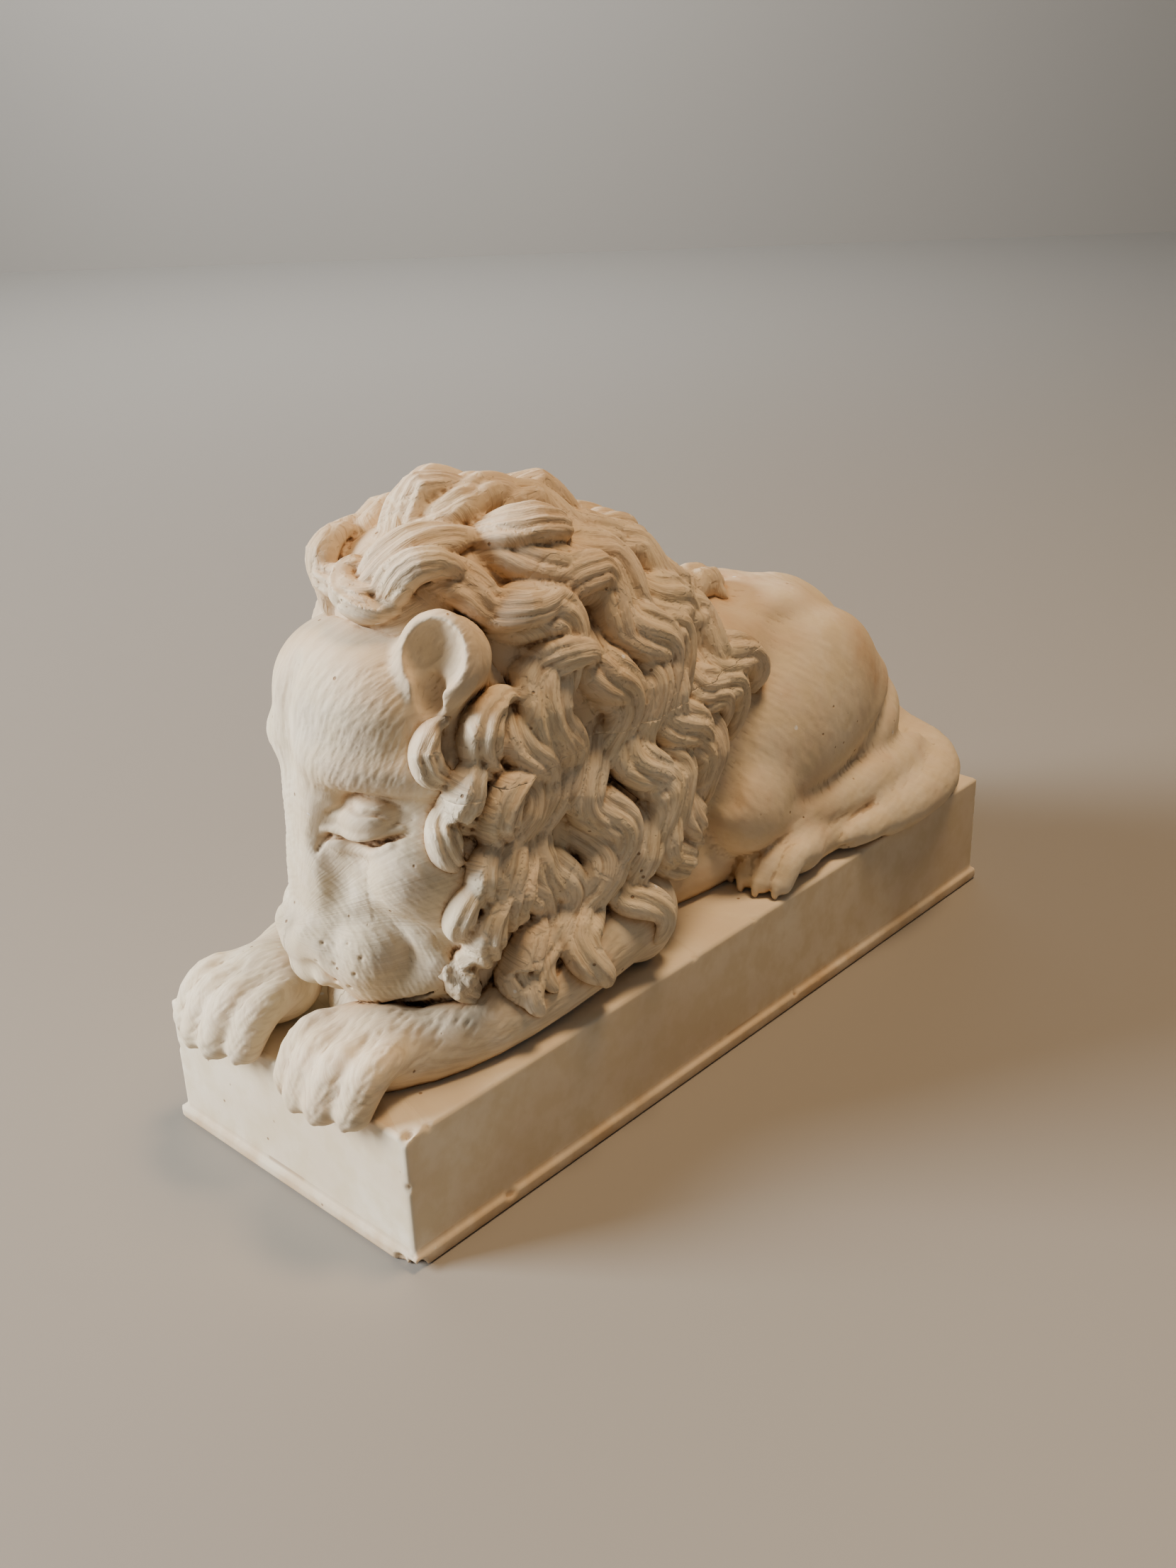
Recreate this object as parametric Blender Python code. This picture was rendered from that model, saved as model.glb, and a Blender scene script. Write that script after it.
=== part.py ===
"""Sleeping lion on a plinth, cast in plaster as one piece.

Metres, +Z up. The lion faces -Y and its own left flank is at +X. The origin is the middle of
the plinth's underside. The figure is modelled in parts, 292 to its length, counted from the
middle of the plinth's top face.
"""

import math
import random

import bmesh
import bpy
import numpy as np
from mathutils import Matrix, Vector
from mathutils.bvhtree import BVHTree

# Driving sizes
LION_LENGTH = 0.292
PLINTH_HEIGHT = 0.044
FRONT_MARGIN = 0.0026
REAR_MARGIN = 0.0026
SIDE_MARGIN = 0.0026
LIP_HEIGHT = 0.0048
LIP_PROUD = 0.0016
ARRIS = 0.0008

# The figure's own measure
LENGTH_PARTS = 292
WIDTH_PARTS = 104
PART = LION_LENGTH / LENGTH_PARTS
BLOCK_LENGTH = LION_LENGTH + FRONT_MARGIN + REAR_MARGIN
BLOCK_WIDTH = WIDTH_PARTS * PART + 2 * SIDE_MARGIN
BLOCK_MIDDLE = (REAR_MARGIN - FRONT_MARGIN) / 2
SPACE_LOW = (-74, -172, -16)
SPACE_HIGH = (74, 158, 172)
HEAD_TURN = -14
HEAD_PIVOT = (0, -100, 0)
HEAD_ASIDE = (5, 0, 0)
EAR = (30.5, -99, 120)
EAR_TILT = -17
EAR_OPEN = 43
EAR_BACK = -5
EAR_ROOM = 9.5
FLANK_ROWS = (41, 56, 73, 92, 112)
FLANK_LANE = 12.2
CROWN_ROWS = (3, 12, 21, 31)
CROWN_LANE = 21
LOCK_WIDTH = 16
LOCK_THICK = 10
LOCK_LENGTH = 43
CURL_RINGS = ((-99, 0.9), (-91, 1.05), (-82, 1.2))
FACE_OVAL = (33, 58, 60)
CURL_FROM = -142
CURL_LANE = 13.5
CURL_WIDTH = 11
CURL_THICK = 11
CURL_LENGTH = 28
CURL_BEND = (25, 205)

# The flame-shaped locks on the crown: degrees from upright, place along, size and way they lean
TUFTS = (
    (-9, -110, 0.85, -1),
    (11, -109, 0.9, 1),
    (-27, -104, 0.85, -1),
    (27, -104, 0.85, 1),
    (1, -93, 1.0, 1),
    (20, -89, 1.0, -1),
    (-19, -89, 1.0, -1),
    (38, -80, 0.9, 1),
    (-38, -80, 0.9, -1),
    (9, -76, 1.1, -1),
    (-10, -74, 1.1, 1),
    (27, -68, 1.1, 1),
    (-27, -68, 1.1, -1),
    (3, -56, 1.1, 1),
)
TUFT_LENGTH = 35
TUFT_WIDTH = 16
TUFT_THICK = 11
TUFT_LIFT = 4
TUFT_BEND = 55
WAVE_LENGTH = 42
WAVE_TILT = 1.0

# How finely the solid is worked and faceted
LOCK_STEPS = 18
LOCK_STRANDS = 3
CURL_STEPS = 14
CURL_STRANDS = 2
TUFT_STEPS = 18
TUFT_STRANDS = 4
CLAY_GRAIN = 1.3
CAST_GRAIN = 1.1
FACETS = 9400

PLASTER = (0.78, 0.70, 0.58, 1.0)


def clear_scene():
    for obj in list(bpy.data.objects):
        bpy.data.objects.remove(obj)


def turn_matrix(turn):
    matrix = Matrix.Identity(3)
    for axis, angle in zip("XYZ", turn):
        matrix = Matrix.Rotation(math.radians(angle), 3, axis) @ matrix
    return np.array(matrix)


HEAD_SPIN = turn_matrix((0, 0, HEAD_TURN))
HEAD_SHIFT = np.array(HEAD_PIVOT) + HEAD_ASIDE - HEAD_SPIN @ HEAD_PIVOT


def bowed(spot):
    """A spot on the level, straight head, moved to where the turned head has it."""
    return HEAD_SPIN @ np.array(spot, float) + HEAD_SHIFT


def unbowed(spot):
    return HEAD_SPIN.T @ (np.array(spot, float) - HEAD_SHIFT)


def unit(vectors):
    return vectors / np.maximum(np.linalg.norm(vectors, axis=-1, keepdims=True), 1e-9)


def smooth_line(points, count):
    """Catmull-Rom points along a hand-placed line."""
    points = np.array(points, float)
    ends = np.vstack([points[0] * 2 - points[1], points, points[-1] * 2 - points[-2]])
    at = np.linspace(0, len(points) - 1, count)
    k = np.minimum(at.astype(int), len(points) - 2)
    t = (at - k)[:, None]
    a, b, c, d = ends[k], ends[k + 1], ends[k + 2], ends[k + 3]
    return 0.5 * (2 * b + (c - a) * t + (2 * a - 5 * b + 4 * c - d) * t**2 + (3 * b - a - 3 * c + d) * t**3)


def new_clay(low, high, grain):
    """A block of space whose grid holds the distance to the clay's skin."""
    low = np.array(low, float)
    count = np.ceil((np.array(high) - low) / grain).astype(int) + 1
    far = np.full(count, 20.0, np.float32)
    return {"low": low, "grain": grain, "far": far, "spin": np.eye(3), "shift": np.zeros(3)}


def window(clay, low, high):
    """The grid between two corners, as slices and the coordinates of its spots."""
    count = clay["far"].shape
    first = np.clip(np.floor((low - clay["low"]) / clay["grain"]).astype(int), 0, count)
    last = np.clip(np.ceil((high - clay["low"]) / clay["grain"]).astype(int) + 1, 0, count)
    part = tuple(slice(a, b) for a, b in zip(first, last))
    x, y, z = [clay["low"][i] + clay["grain"] * np.arange(first[i], last[i]) for i in range(3)]
    return part, x[:, None, None], y[None, :, None], z[None, None, :]


def blend_in(clay, part, distance, blend, cut):
    """Adds a form to the clay, or cuts it away, with a fillet of the given reach."""
    old = clay["far"][part]
    way = 1 if cut else -1
    distance = -way * distance
    share = np.maximum(blend - np.abs(old - distance), 0) / blend
    nearer = np.maximum(old, distance) if cut else np.minimum(old, distance)
    clay["far"][part] = nearer + way * share * share * blend * 0.25


def add_ball(clay, at, size, turn=(0, 0, 0), blend=4.0, cut=False, twin=False):
    """An ellipsoid of clay: middle, half sizes and a turn in degrees."""
    given = np.array(at, float)
    size = np.array(size, float)
    at = clay["spin"] @ given + clay["shift"]
    spin = clay["spin"] @ turn_matrix(turn)
    reach = np.abs(spin) @ size + blend + 2 * clay["grain"]
    part, x, y, z = window(clay, at - reach, at + reach)
    inner = outer = 0.0
    for i in range(3):
        across = (x - at[0]) * spin[0, i] + (y - at[1]) * spin[1, i] + (z - at[2]) * spin[2, i]
        inner = inner + (across / size[i]) ** 2
        outer = outer + (across / size[i] ** 2) ** 2
    inner = np.sqrt(inner)
    outer = np.sqrt(outer)
    blend_in(clay, part, inner * (inner - 1) / np.maximum(outer, 1e-6), blend, cut)
    if twin:
        add_ball(clay, given * (-1, 1, 1), size, (turn[0], -turn[1], -turn[2]), blend, cut)


def add_limb(clay, line, blend=4.0, steps=10, cut=False, twin=False):
    """A tapering round limb. Each point of the line is (x, y, z, radius)."""
    given = np.array(line, float)
    line = smooth_line(line, steps)
    centre = line[:, :3] @ clay["spin"].T + clay["shift"]
    radius = np.maximum(line[:, 3], 0.05)
    reach = radius.max() + blend + 2 * clay["grain"]
    part, x, y, z = window(clay, centre.min(0) - reach, centre.max(0) + reach)
    best = np.full(np.broadcast_shapes(x.shape, y.shape, z.shape), 99.0)
    for a, b, thick, thin in zip(centre[:-1], centre[1:], radius[:-1], radius[1:]):
        step = b - a
        dx, dy, dz = x - a[0], y - a[1], z - a[2]
        t = np.clip((dx * step[0] + dy * step[1] + dz * step[2]) / max(step @ step, 1e-9), 0, 1)
        away = np.sqrt((dx - t * step[0]) ** 2 + (dy - t * step[1]) ** 2 + (dz - t * step[2]) ** 2)
        np.minimum(best, away - (thick + t * (thin - thick)), out=best)
    blend_in(clay, part, best, blend, cut)
    if twin:
        add_limb(clay, given * (-1, 1, 1, 1), blend, steps, cut)


def far_at(clay, spot):
    """The clay's distance value at a spot of the head, between the grid's own spots."""
    at = (clay["spin"] @ np.array(spot, float) + clay["shift"] - clay["low"]) / clay["grain"]
    k = np.floor(at).astype(int)
    share = at - k
    block = clay["far"][k[0] : k[0] + 2, k[1] : k[1] + 2, k[2] : k[2] + 2]
    for part in share:
        block = block[0] * (1 - part) + block[1] * part
    return block


def on_skin(clay, line):
    """Lays a line of (x, z, lift, radius) on the front of the face."""
    placed = []
    for x, z, lift, radius in line:
        y = -146.0
        while y < -90 and far_at(clay, (x, y, z)) > 0:
            y += 0.2
        placed.append((x, y - lift, z, radius))
    return placed


def skin_of(clay):
    """The clay's skin: a point in each cell that it passes through, and quads between them."""
    far = clay["far"]
    inside = far < 0
    corners = [(i, j, k) for i in (0, 1) for j in (0, 1) for k in (0, 1)]
    size = np.array(far.shape) - 1
    some = np.zeros(size, bool)
    every = np.ones(size, bool)
    for i, j, k in corners:
        block = inside[i : i + size[0], j : j + size[1], k : k + size[2]]
        some |= block
        every &= block
    cells = np.argwhere(some & ~every)
    value = {c: far[tuple((cells + c).T)] for c in corners}
    total = np.zeros((len(cells), 3))
    hits = np.zeros(len(cells))
    for a in corners:
        for axis in range(3):
            if a[axis]:
                continue
            b = tuple(1 if n == axis else a[n] for n in range(3))
            crossed = (value[a] < 0) != (value[b] < 0)
            spot = np.tile(np.array(a, float), (crossed.sum(), 1))
            spot[:, axis] += value[a][crossed] / (value[a][crossed] - value[b][crossed])
            total[crossed] += spot
            hits[crossed] += 1
    points = clay["low"] + clay["grain"] * (cells + total / hits[:, None])
    index = np.full(size, -1)
    index[tuple(cells.T)] = np.arange(len(cells))
    quads = []
    for axis in range(3):
        here = [slice(1, -1)] * 3
        there = list(here)
        here[axis] = slice(0, -1)
        there[axis] = slice(1, None)
        edges = np.argwhere(inside[tuple(here)] != inside[tuple(there)])
        leaving = inside[tuple(here)][tuple(edges.T)]
        spot = edges + [0 if n == axis else 1 for n in range(3)]
        ring = []
        for du, dv in ((0, 0), (-1, 0), (-1, -1), (0, -1)):
            at = spot.copy()
            at[:, (axis + 1) % 3] += du
            at[:, (axis + 2) % 3] += dv
            ring.append(index[tuple(at.T)])
        ring = np.stack(ring, -1)
        ring[~leaving] = ring[~leaving][:, ::-1]
        quads.append(ring)
    quads = np.vstack(quads)
    return points, np.vstack([quads[:, [0, 1, 2]], quads[:, [0, 2, 3]]])


def body(clay):
    """Barrel, shoulders and rump in one run, with the haunches folded at the sides."""
    add_ball(clay, (0, -32, 46), (37, 54, 47))
    add_ball(clay, (0, 30, 47), (32, 46, 44), blend=16)
    add_ball(clay, (0, 84, 46), (30, 38, 41), blend=16)
    add_ball(clay, (0, 30, 8), (35, 88, 18), blend=12)
    add_limb(clay, [(0, -20, 88, 5), (0, 40, 88, 5), (0, 84, 82, 5), (0, 112, 62, 5)], blend=8)
    add_ball(clay, (26, -36, 46), (21, 30, 38), (10, 0, 0), blend=10, twin=True)
    add_ball(clay, (15, 70, 84), (10, 16, 7), (-8, 0, 0), blend=9, twin=True)
    add_ball(clay, (15, 30, 72), (15, 34, 17), blend=10, twin=True)
    add_ball(clay, (27, 74, 50), (19, 34, 33), (16, 0, 0), blend=8, twin=True)
    add_ball(clay, (31, 50, 41), (15.5, 30, 25), (36, 0, 0), blend=10, twin=True)
    add_ball(clay, (36, 27, 27), (12, 15, 15), blend=8, twin=True)
    add_ball(clay, (27, 100, 34), (16, 22, 26), blend=8, twin=True)
    flank_fold = [
        (31, 34, 68, 0.4),
        (34, 27, 60, 2.2),
        (36, 20, 48, 2.8),
        (37, 14, 36, 1.8),
    ]
    thigh_fold = [(36, 116, 50, 1.5), (42, 102, 40, 2), (46, 84, 28, 2)]
    add_limb(clay, flank_fold, blend=7, cut=True, twin=True)
    add_limb(clay, thigh_fold, blend=8, cut=True, twin=True)


def paw(clay, at, width, reach, droop):
    """Four knuckled toes and their claws in front of a broad pad, pointing to -Y."""
    x, y, z = at
    add_ball(clay, (x, y + 2, z + 2), (width * 0.45, reach * 0.66, z + 2.6))
    for i in range(4):
        share = i - 1.5
        across = x + share * width * 0.24
        tip = y - reach + abs(share) * reach * 0.14
        thick = width * (0.158 if abs(share) < 1 else 0.148)
        toe = [
            (x + (across - x) * 0.8, y + 3, z + 3, thick),
            (across, tip + reach * 0.5, z + 5, thick * 1.02),
            (across, tip + reach * 0.24, z + 2.5 - droop * 0.3, thick * 1.1),
            (across, tip + reach * 0.05, z - 2.6 - droop, thick * 0.98),
        ]
        claw = [
            (across, tip - 1.2, z - 1.6 - droop, 1.7),
            (across, tip - 2.8, z - 4.4 - droop, 1.4),
            (across, tip - 2.6, z - 6.6 - droop, 0.9),
        ]
        add_limb(clay, toe, blend=2.2, steps=8)
        add_limb(clay, claw, blend=1.0, steps=5)


def legs(clay):
    """Hind legs folded under the thighs, forearms along the plinth, paws at its front edge."""
    shank = [(36, 26, 22, 9), (40, 58, 17, 9), (42, 94, 17, 9), (40, 114, 17, 9)]
    foot = [(40, 117, 9, 7.5), (43, 100, 7.5, 7), (44.5, 76, 7, 7), (43.5, 54, 8, 8)]
    forearm = [
        (40, -38, 19, 14),
        (41, -68, 13.5, 12.5),
        (40, -98, 9.5, 11),
        (35, -120, 7.5, 10.5),
        (27.5, -133, 7.5, 10.8),
    ]
    add_limb(clay, shank, twin=True)
    add_ball(clay, (40, 123, 15), (5.5, 7, 9), twin=True)
    add_limb(clay, foot, blend=2.2, twin=True)
    add_limb(clay, forearm, blend=6, twin=True)
    add_ball(clay, (43, -38, 12), (8, 10, 11), blend=5, twin=True)
    for side in (1, -1):
        paw(clay, (side * 42.5, 40, 7), 26, 21, 0)
        paw(clay, (side * 24.5, -134, 8), 37, 24, 2)


def tail(clay):
    """Round the rear, then forward along the plinth's edge on the lion's left, with a tuft."""
    line = [
        (0, 112, 42, 13),
        (6, 128, 28, 11.5),
        (22, 138, 13.5, 10.5),
        (38, 138, 9.5, 10),
        (49, 125, 8, 9.5),
        (52, 104, 7, 9),
        (51.5, 88, 6.5, 8),
    ]
    add_limb(clay, line, blend=5, steps=16)
    add_ball(clay, (26, 122, 5), (22, 17, 15), blend=7)
    for k, (x, y, z) in enumerate(((52, 62, 3), (54, 67, 4), (48, 68, 3), (52, 58, 6))):
        hair = [
            (51.5, 90, 6.5, 6),
            (x * 0.5 + 26, 79, 6 + k % 2, 5.2),
            (x, y + 6, z + 2, 3.4),
            (x - 1, y, z, 0.8),
        ]
        add_limb(clay, hair, blend=1.2, steps=8)


def mane_bulk(clay):
    """The mass under the locks: crown, neck and the ruff round the cheeks."""
    add_ball(clay, (2, -66, 99), (40, 42, 50), blend=10)
    add_ball(clay, (1, -34, 82), (42, 46, 54), blend=10)
    add_ball(clay, (0, -2, 64), (39, 36, 45), blend=10)
    add_ball(clay, (25, -54, 44), (17, 44, 44), blend=10, twin=True)
    add_ball(clay, (26, -60, 18), (16, 36, 18), blend=10, twin=True)
    add_ball(clay, (3, -91, 122), (26, 20, 24), (0, 0, HEAD_TURN), blend=8)


def head(clay):
    """The bowed head, straight and level here; the clay's own spin and shift turn it."""
    twin = {"twin": True}
    carve = {"twin": True, "cut": True}
    add_ball(clay, (0, -88, 84), (36, 33, 44))
    add_ball(clay, (0, -92, 40), (32, 25, 42), blend=12)
    add_ball(clay, (0, -107, 104), (31, 24, 22), blend=10)
    bridge = [
        (4, -121, 104, 9),
        (4.5, -122, 86, 9.5),
        (4.5, -122.5, 66, 10),
        (4.5, -123, 50, 10.5),
        (4.5, -123.5, 32, 10.5),
    ]
    add_limb(clay, bridge, blend=4, **twin)
    brow = [
        (5, -123, 96, 6),
        (11, -125, 93, 6.6),
        (18, -122, 91.5, 6.6),
        (26, -112.5, 90, 6),
        (32, -101, 88, 5),
    ]
    add_limb(clay, brow, blend=6, **twin)
    add_ball(clay, (25, -104, 60), (13, 18, 16), (0, 0, 14), blend=8, **twin)
    add_ball(clay, (14, -113, 52), (9, 11, 14), (0, -10, 0), blend=7, **twin)
    side_hollow = [
        (12.5, -131.5, 69, 1.0),
        (15, -129.5, 62, 2.2),
        (16, -128.5, 54, 2.4),
        (15.5, -131, 48, 1.2),
    ]
    add_limb(clay, side_hollow, blend=5, **carve)
    add_ball(clay, (28, -96, 44), (10, 17, 24), blend=8, **twin)
    add_ball(clay, (20, -98, 24), (10, 13, 18), blend=8, **twin)
    add_ball(clay, (12.4, -131.5, 72), (2.0, 5, 6.5), (0, 14, 0), blend=4, **carve)
    add_ball(clay, (17.5, -116.6, 75), (10, 8.4, 6.6), (0, -14, -8), blend=2, **twin)
    add_ball(clay, (9, -116, 36), (11, 13, 14), blend=6, **twin)
    jaw = [(0, -119, 5, 6.5), (9, -117.5, 6, 6.5), (18, -109, 11, 7), (26, -98, 17, 8)]
    add_limb(clay, jaw, blend=5, **twin)
    add_ball(clay, (15.4, -117.6, 32), (13, 14.6, 14.6), (0, 12, 16), blend=2.2, **twin)
    hanging_lip = [(18, -119, 23, 7.5), (26, -109, 27, 7.5), (31.5, -99, 34, 6.5)]
    add_limb(clay, hanging_lip, blend=4, **twin)
    add_ball(clay, (0, -118, 20), (8, 12, 7), blend=3)
    pad_fold = [
        (13, -138, 50, 0.6),
        (19, -131.5, 49, 1.4),
        (26.5, -122, 46.5, 2.0),
        (32.5, -112, 43, 2.4),
        (36, -104, 37, 2.0),
        (37, -99, 28, 1.4),
    ]
    add_limb(clay, pad_fold, blend=5, **carve)
    add_limb(clay, [(0, -134.5, 86, 1.2), (0, -133, 100, 2.0), (0, -128.5, 116, 1.2)], blend=6, cut=True)
    add_ball(clay, (0, -126, 34), (14.6, 13.4, 10.5), blend=4)
    add_ball(clay, (0, -130, 26), (8.5, 7.8, 7), blend=2)
    wing = [(7, -135, 38, 3.0), (12, -132, 35.5, 3.6), (13.4, -130.8, 30.5, 3.2), (10.5, -132.6, 25.5, 2.2)]
    add_limb(clay, wing, blend=4, **twin)


def ear_middle(side):
    return np.array(EAR) * (side, 1, 1)


def ear_facing(side):
    return turn_matrix((EAR_TILT, 0, side * EAR_OPEN)) @ (0, -1, 0)


def ears(clay):
    """Rounded cups, open to the front and outwards, set in the hair above the temples."""
    for side in (1, -1):
        turn = (EAR_TILT, 0, side * EAR_OPEN)
        facing = ear_facing(side)
        middle = ear_middle(side)
        add_ball(clay, middle - facing * 7, (12, 12, 12), blend=5)
        add_ball(clay, middle, (11.6, 6.5, 13.4), turn, blend=3)
        add_ball(clay, middle + (-side * 2, 0, -9), (7.5, 6, 9), turn, blend=3)
        add_ball(clay, middle + facing * 5.5 + (0, 0, 1.5), (8.4, 8.8, 9.6), turn, blend=1.6, cut=True)
        add_ball(clay, middle + facing * 5.5 + (-side * 2, 0, -9), (4, 6, 7), turn, blend=2, cut=True)


def face_lines(clay):
    """Lids, nostrils, the mouth's line and the furrow below the nose."""
    # the lid lines lie on the skin: x, z, lift and radius
    lid_edge = [
        (10.5, 71.6, 0, 0.8),
        (14, 71.6, 0.2, 1.2),
        (19, 71.4, 0.2, 1.4),
        (24, 72.4, 0, 1.2),
        (28.5, 74.4, 0, 0.8),
    ]
    lower_lid = [
        (11, 67.4, 0, 0.8),
        (15, 66.2, 0, 1.3),
        (20, 65.8, 0, 1.5),
        (25, 67.4, 0, 1.3),
        (29, 70.4, 0, 0.8),
    ]
    slit = [
        (9.5, 68.6, 0, 0.6),
        (12, 69.4, 0, 0.9),
        (16, 69, 0, 1.0),
        (21, 68.8, 0, 1.0),
        (26, 70.4, 0, 0.9),
        (31, 73.6, 0, 0.5),
    ]
    tear = [(10.6, 69, 0, 0.8), (9.6, 67, 0, 0.7), (9.4, 64.6, 0, 0.3)]
    lid_fold = [(12.5, 76.6, 0, 0.4), (17, 80, 0.2, 0.8), (23, 79.6, 0.2, 0.8), (29, 76.6, 0.2, 0.4)]
    nostril = [
        (4.5, -139.8, 25, 1.0),
        (7.8, -138.8, 28.4, 2.2),
        (11, -136.8, 30, 2.3),
        (15.4, -131.6, 27.4, 1.2),
    ]
    furrow = [(0, -139.4, 25.5, 0.5), (0, -137.6, 20, 0.9), (0, -133.6, 14.4, 1.0)]
    mouth = [
        (0, -132, 13, 1.4),
        (6, -133.4, 13.4, 1.7),
        (13, -131, 14.6, 2.0),
        (20.5, -123, 17.6, 2.1),
        (28, -112, 22.5, 2.1),
        (35, -99.5, 30, 1.8),
    ]
    raised, cut = ((lid_edge, 1.4), (lower_lid, 1.8)), ((slit, 0.7), (tear, 1.0), (lid_fold, 1.6))
    for line, blend in raised:
        add_limb(clay, on_skin(clay, line), blend=blend, twin=True)
    for line, blend in cut:
        add_limb(clay, on_skin(clay, line), blend=blend, cut=True, twin=True)
    add_limb(clay, nostril, blend=1.4, cut=True, twin=True)
    add_limb(clay, furrow, blend=1.6, cut=True)
    add_limb(clay, mouth, blend=1.8, steps=16, cut=True, twin=True)


def hair_flow(spot, normal, stray=0.0):
    """Which way the hair lies at a spot: back over the crown, down the sides, in waves."""
    side = 1 if spot[0] > 0 else -1
    crown = min(1, max(0, (spot[2] - 104) / 40))
    rear = min(1, max(0, (spot[1] + 70) / 70))
    down = np.array((0, 0.06 + 0.55 * rear, -1))
    back = np.array((side * (0.35 + 0.025 * abs(spot[0])), 1, 0))
    flow = unit(down * (1 - crown) + back * crown)
    flow = unit(flow - normal * (flow @ normal))
    run = abs(spot[0]) - spot[2] + 0.45 * spot[1]
    swing = WAVE_TILT * (1 - 0.4 * crown) * math.cos(2 * math.pi * (run / WAVE_LENGTH + stray))
    return unit(flow + np.cross(normal, flow) * (side * swing))


def comb_path(tree, root, flow, length, steps):
    """The line on the skin that a lock follows from its root, and the skin's normals there."""
    spot = root
    heading = None
    path = []
    normals = []
    for _ in range(steps):
        under, normal, _, _ = tree.find_nearest(Vector(spot))
        under = np.array(under)
        normal = np.array(normal)
        ahead = flow(under, normal)
        heading = ahead if heading is None else unit(heading * 0.45 + ahead * 0.55)
        path.append(under)
        normals.append(normal)
        spot = under + heading * (length / (steps - 1))
    path = np.array(path)
    normals = np.array(normals)
    for _ in range(2):
        for line in (path, normals):
            line[1:-1] = line[1:-1] * 0.5 + (line[:-2] + line[2:]) * 0.25
    return path, unit(normals)


def lock(path, normals, width, thick, strands, seed, blunt=2.3, sides=12):
    """A bundle of tapering strands along a path, sunk at the root and parting at the tip."""
    chance = random.Random(seed)
    t = np.linspace(0, 1, len(path))
    beside = unit(np.cross(normals, unit(np.gradient(path, axis=0))))
    turns = np.linspace(0, 2 * math.pi, sides, endpoint=False)
    body_share = np.minimum(1, 0.55 + 1.7 * t) * np.maximum(0, 1 - t**blunt) ** 0.6
    rise = thick * (0.62 * np.minimum(1, 2.3 * t) - 0.38 - 0.3 * t**4)
    forms = []
    for k in range(strands):
        share = 2 * k / (strands - 1) - 1
        last = 1 - 0.11 * abs(share) - 0.08 * chance.random()
        s = np.clip(t / last, 0, 1)
        full = np.minimum(1, 0.55 + 1.7 * s) * np.maximum(0, 1 - s**blunt) ** 0.6 + 0.02
        half = width * 0.62 / strands * full
        tall = thick * 0.5 * full**0.75
        spread = body_share * 0.75 + 0.25 * (1 - t)
        aside = width * (0.3 * share * spread + 0.06 * math.sin(seed + k) * t)
        hump = thick * 0.1 * (1 - share * share)
        centre = path + beside * aside[:, None] + normals * (rise + hump)[:, None]
        cut = max(3, int(np.searchsorted(t, last)) + 1)
        wide = beside[:cut, None] * (half[:cut, None] * np.cos(turns))[..., None]
        high = normals[:cut, None] * (tall[:cut, None] * np.sin(turns))[..., None]
        forms.append(loft(centre[:cut, None] + wide + high))
    # a broad core fills the valleys between the strands
    core = path + normals * (rise + thick * 0.04)[:, None]
    wide = beside[:, None] * ((width * 0.4 * body_share + 0.15)[:, None] * np.cos(turns))[..., None]
    high = normals[:, None] * ((thick * 0.44 * body_share**0.75 + 0.15)[:, None] * np.sin(turns))[..., None]
    forms.append(loft(core[:, None] + wide + high))
    return forms


def loft(rings):
    """A closed tube through rings of points."""
    steps, sides = rings.shape[:2]
    points = np.vstack([rings.reshape(-1, 3), rings[0].mean(0), rings[-1].mean(0)])
    ring = np.arange(sides)
    after = (ring + 1) % sides
    level = np.arange(steps - 1)[:, None] * sides
    near = (level + ring).ravel()
    side = (level + after).ravel()
    top = (steps - 1) * sides
    root = np.full(sides, steps * sides)
    faces = [
        np.stack([near, side, side + sides], -1),
        np.stack([near, side + sides, near + sides], -1),
        np.stack([ring, root, after], -1),
        np.stack([ring + top, after + top, root + 1], -1),
    ]
    return points, np.vstack(faces)


def covers_ear(path, width):
    """Whether a lock runs over an ear's opening; behind the ear it may pass."""
    for side in (1, -1):
        facing = HEAD_SPIN @ ear_facing(side)
        offset = path - bowed(ear_middle(side))
        ahead = offset @ facing
        across = np.linalg.norm(offset - ahead[:, None] * facing, axis=1)
        if np.any((ahead > EAR_BACK) & (across < EAR_ROOM + 0.4 * width)):
            return True
    return False


def face_edge(spot):
    """How far a spot lies outside the face's oval; negative on the face."""
    local = unbowed(spot)
    if local[1] > -82:
        return 99
    return 36 * (math.hypot(local[0] / 34, (local[2] - 62) / (55 if local[2] > 62 else 64)) - 1)


def mane_roots(tree):
    """Where the locks start: rows down the flanks and lanes running back over the crown."""
    chance = random.Random(11)
    spots = []
    for row, around in enumerate(FLANK_ROWS):
        for lane in range(-1, 14):
            spots.append((around, -120 + FLANK_LANE * (lane + 0.5 * (row % 2)), 1.0))
    for row, around in enumerate(CROWN_ROWS):
        for lane in range(7):
            spots.append((around, -108 + CROWN_LANE * (lane + 0.5 * (row % 2)), 1.18))
    roots = []
    for around, along, size in spots:
        for side in (1, -1):
            lean = math.radians(around + chance.uniform(-2, 2))
            y = along + chance.uniform(-1.8, 1.8)
            size_here = size * chance.uniform(0.9, 1.12)
            stray = chance.uniform(-0.06, 0.06)
            if y > 24 - 0.42 * around:
                continue
            out = np.array((side * math.sin(lean), 0, math.cos(lean)))
            root = tree.ray_cast(Vector(np.array((2, y, 60)) + out * 120), Vector(-out))[0]
            if root is None or face_edge(root) < 11 or root[2] < 14:
                continue
            edge_share = 0.78 + 0.22 * min(1, face_edge(root) / 40)
            roots.append((np.array(root), size_here * edge_share, stray))
    return roots


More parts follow.
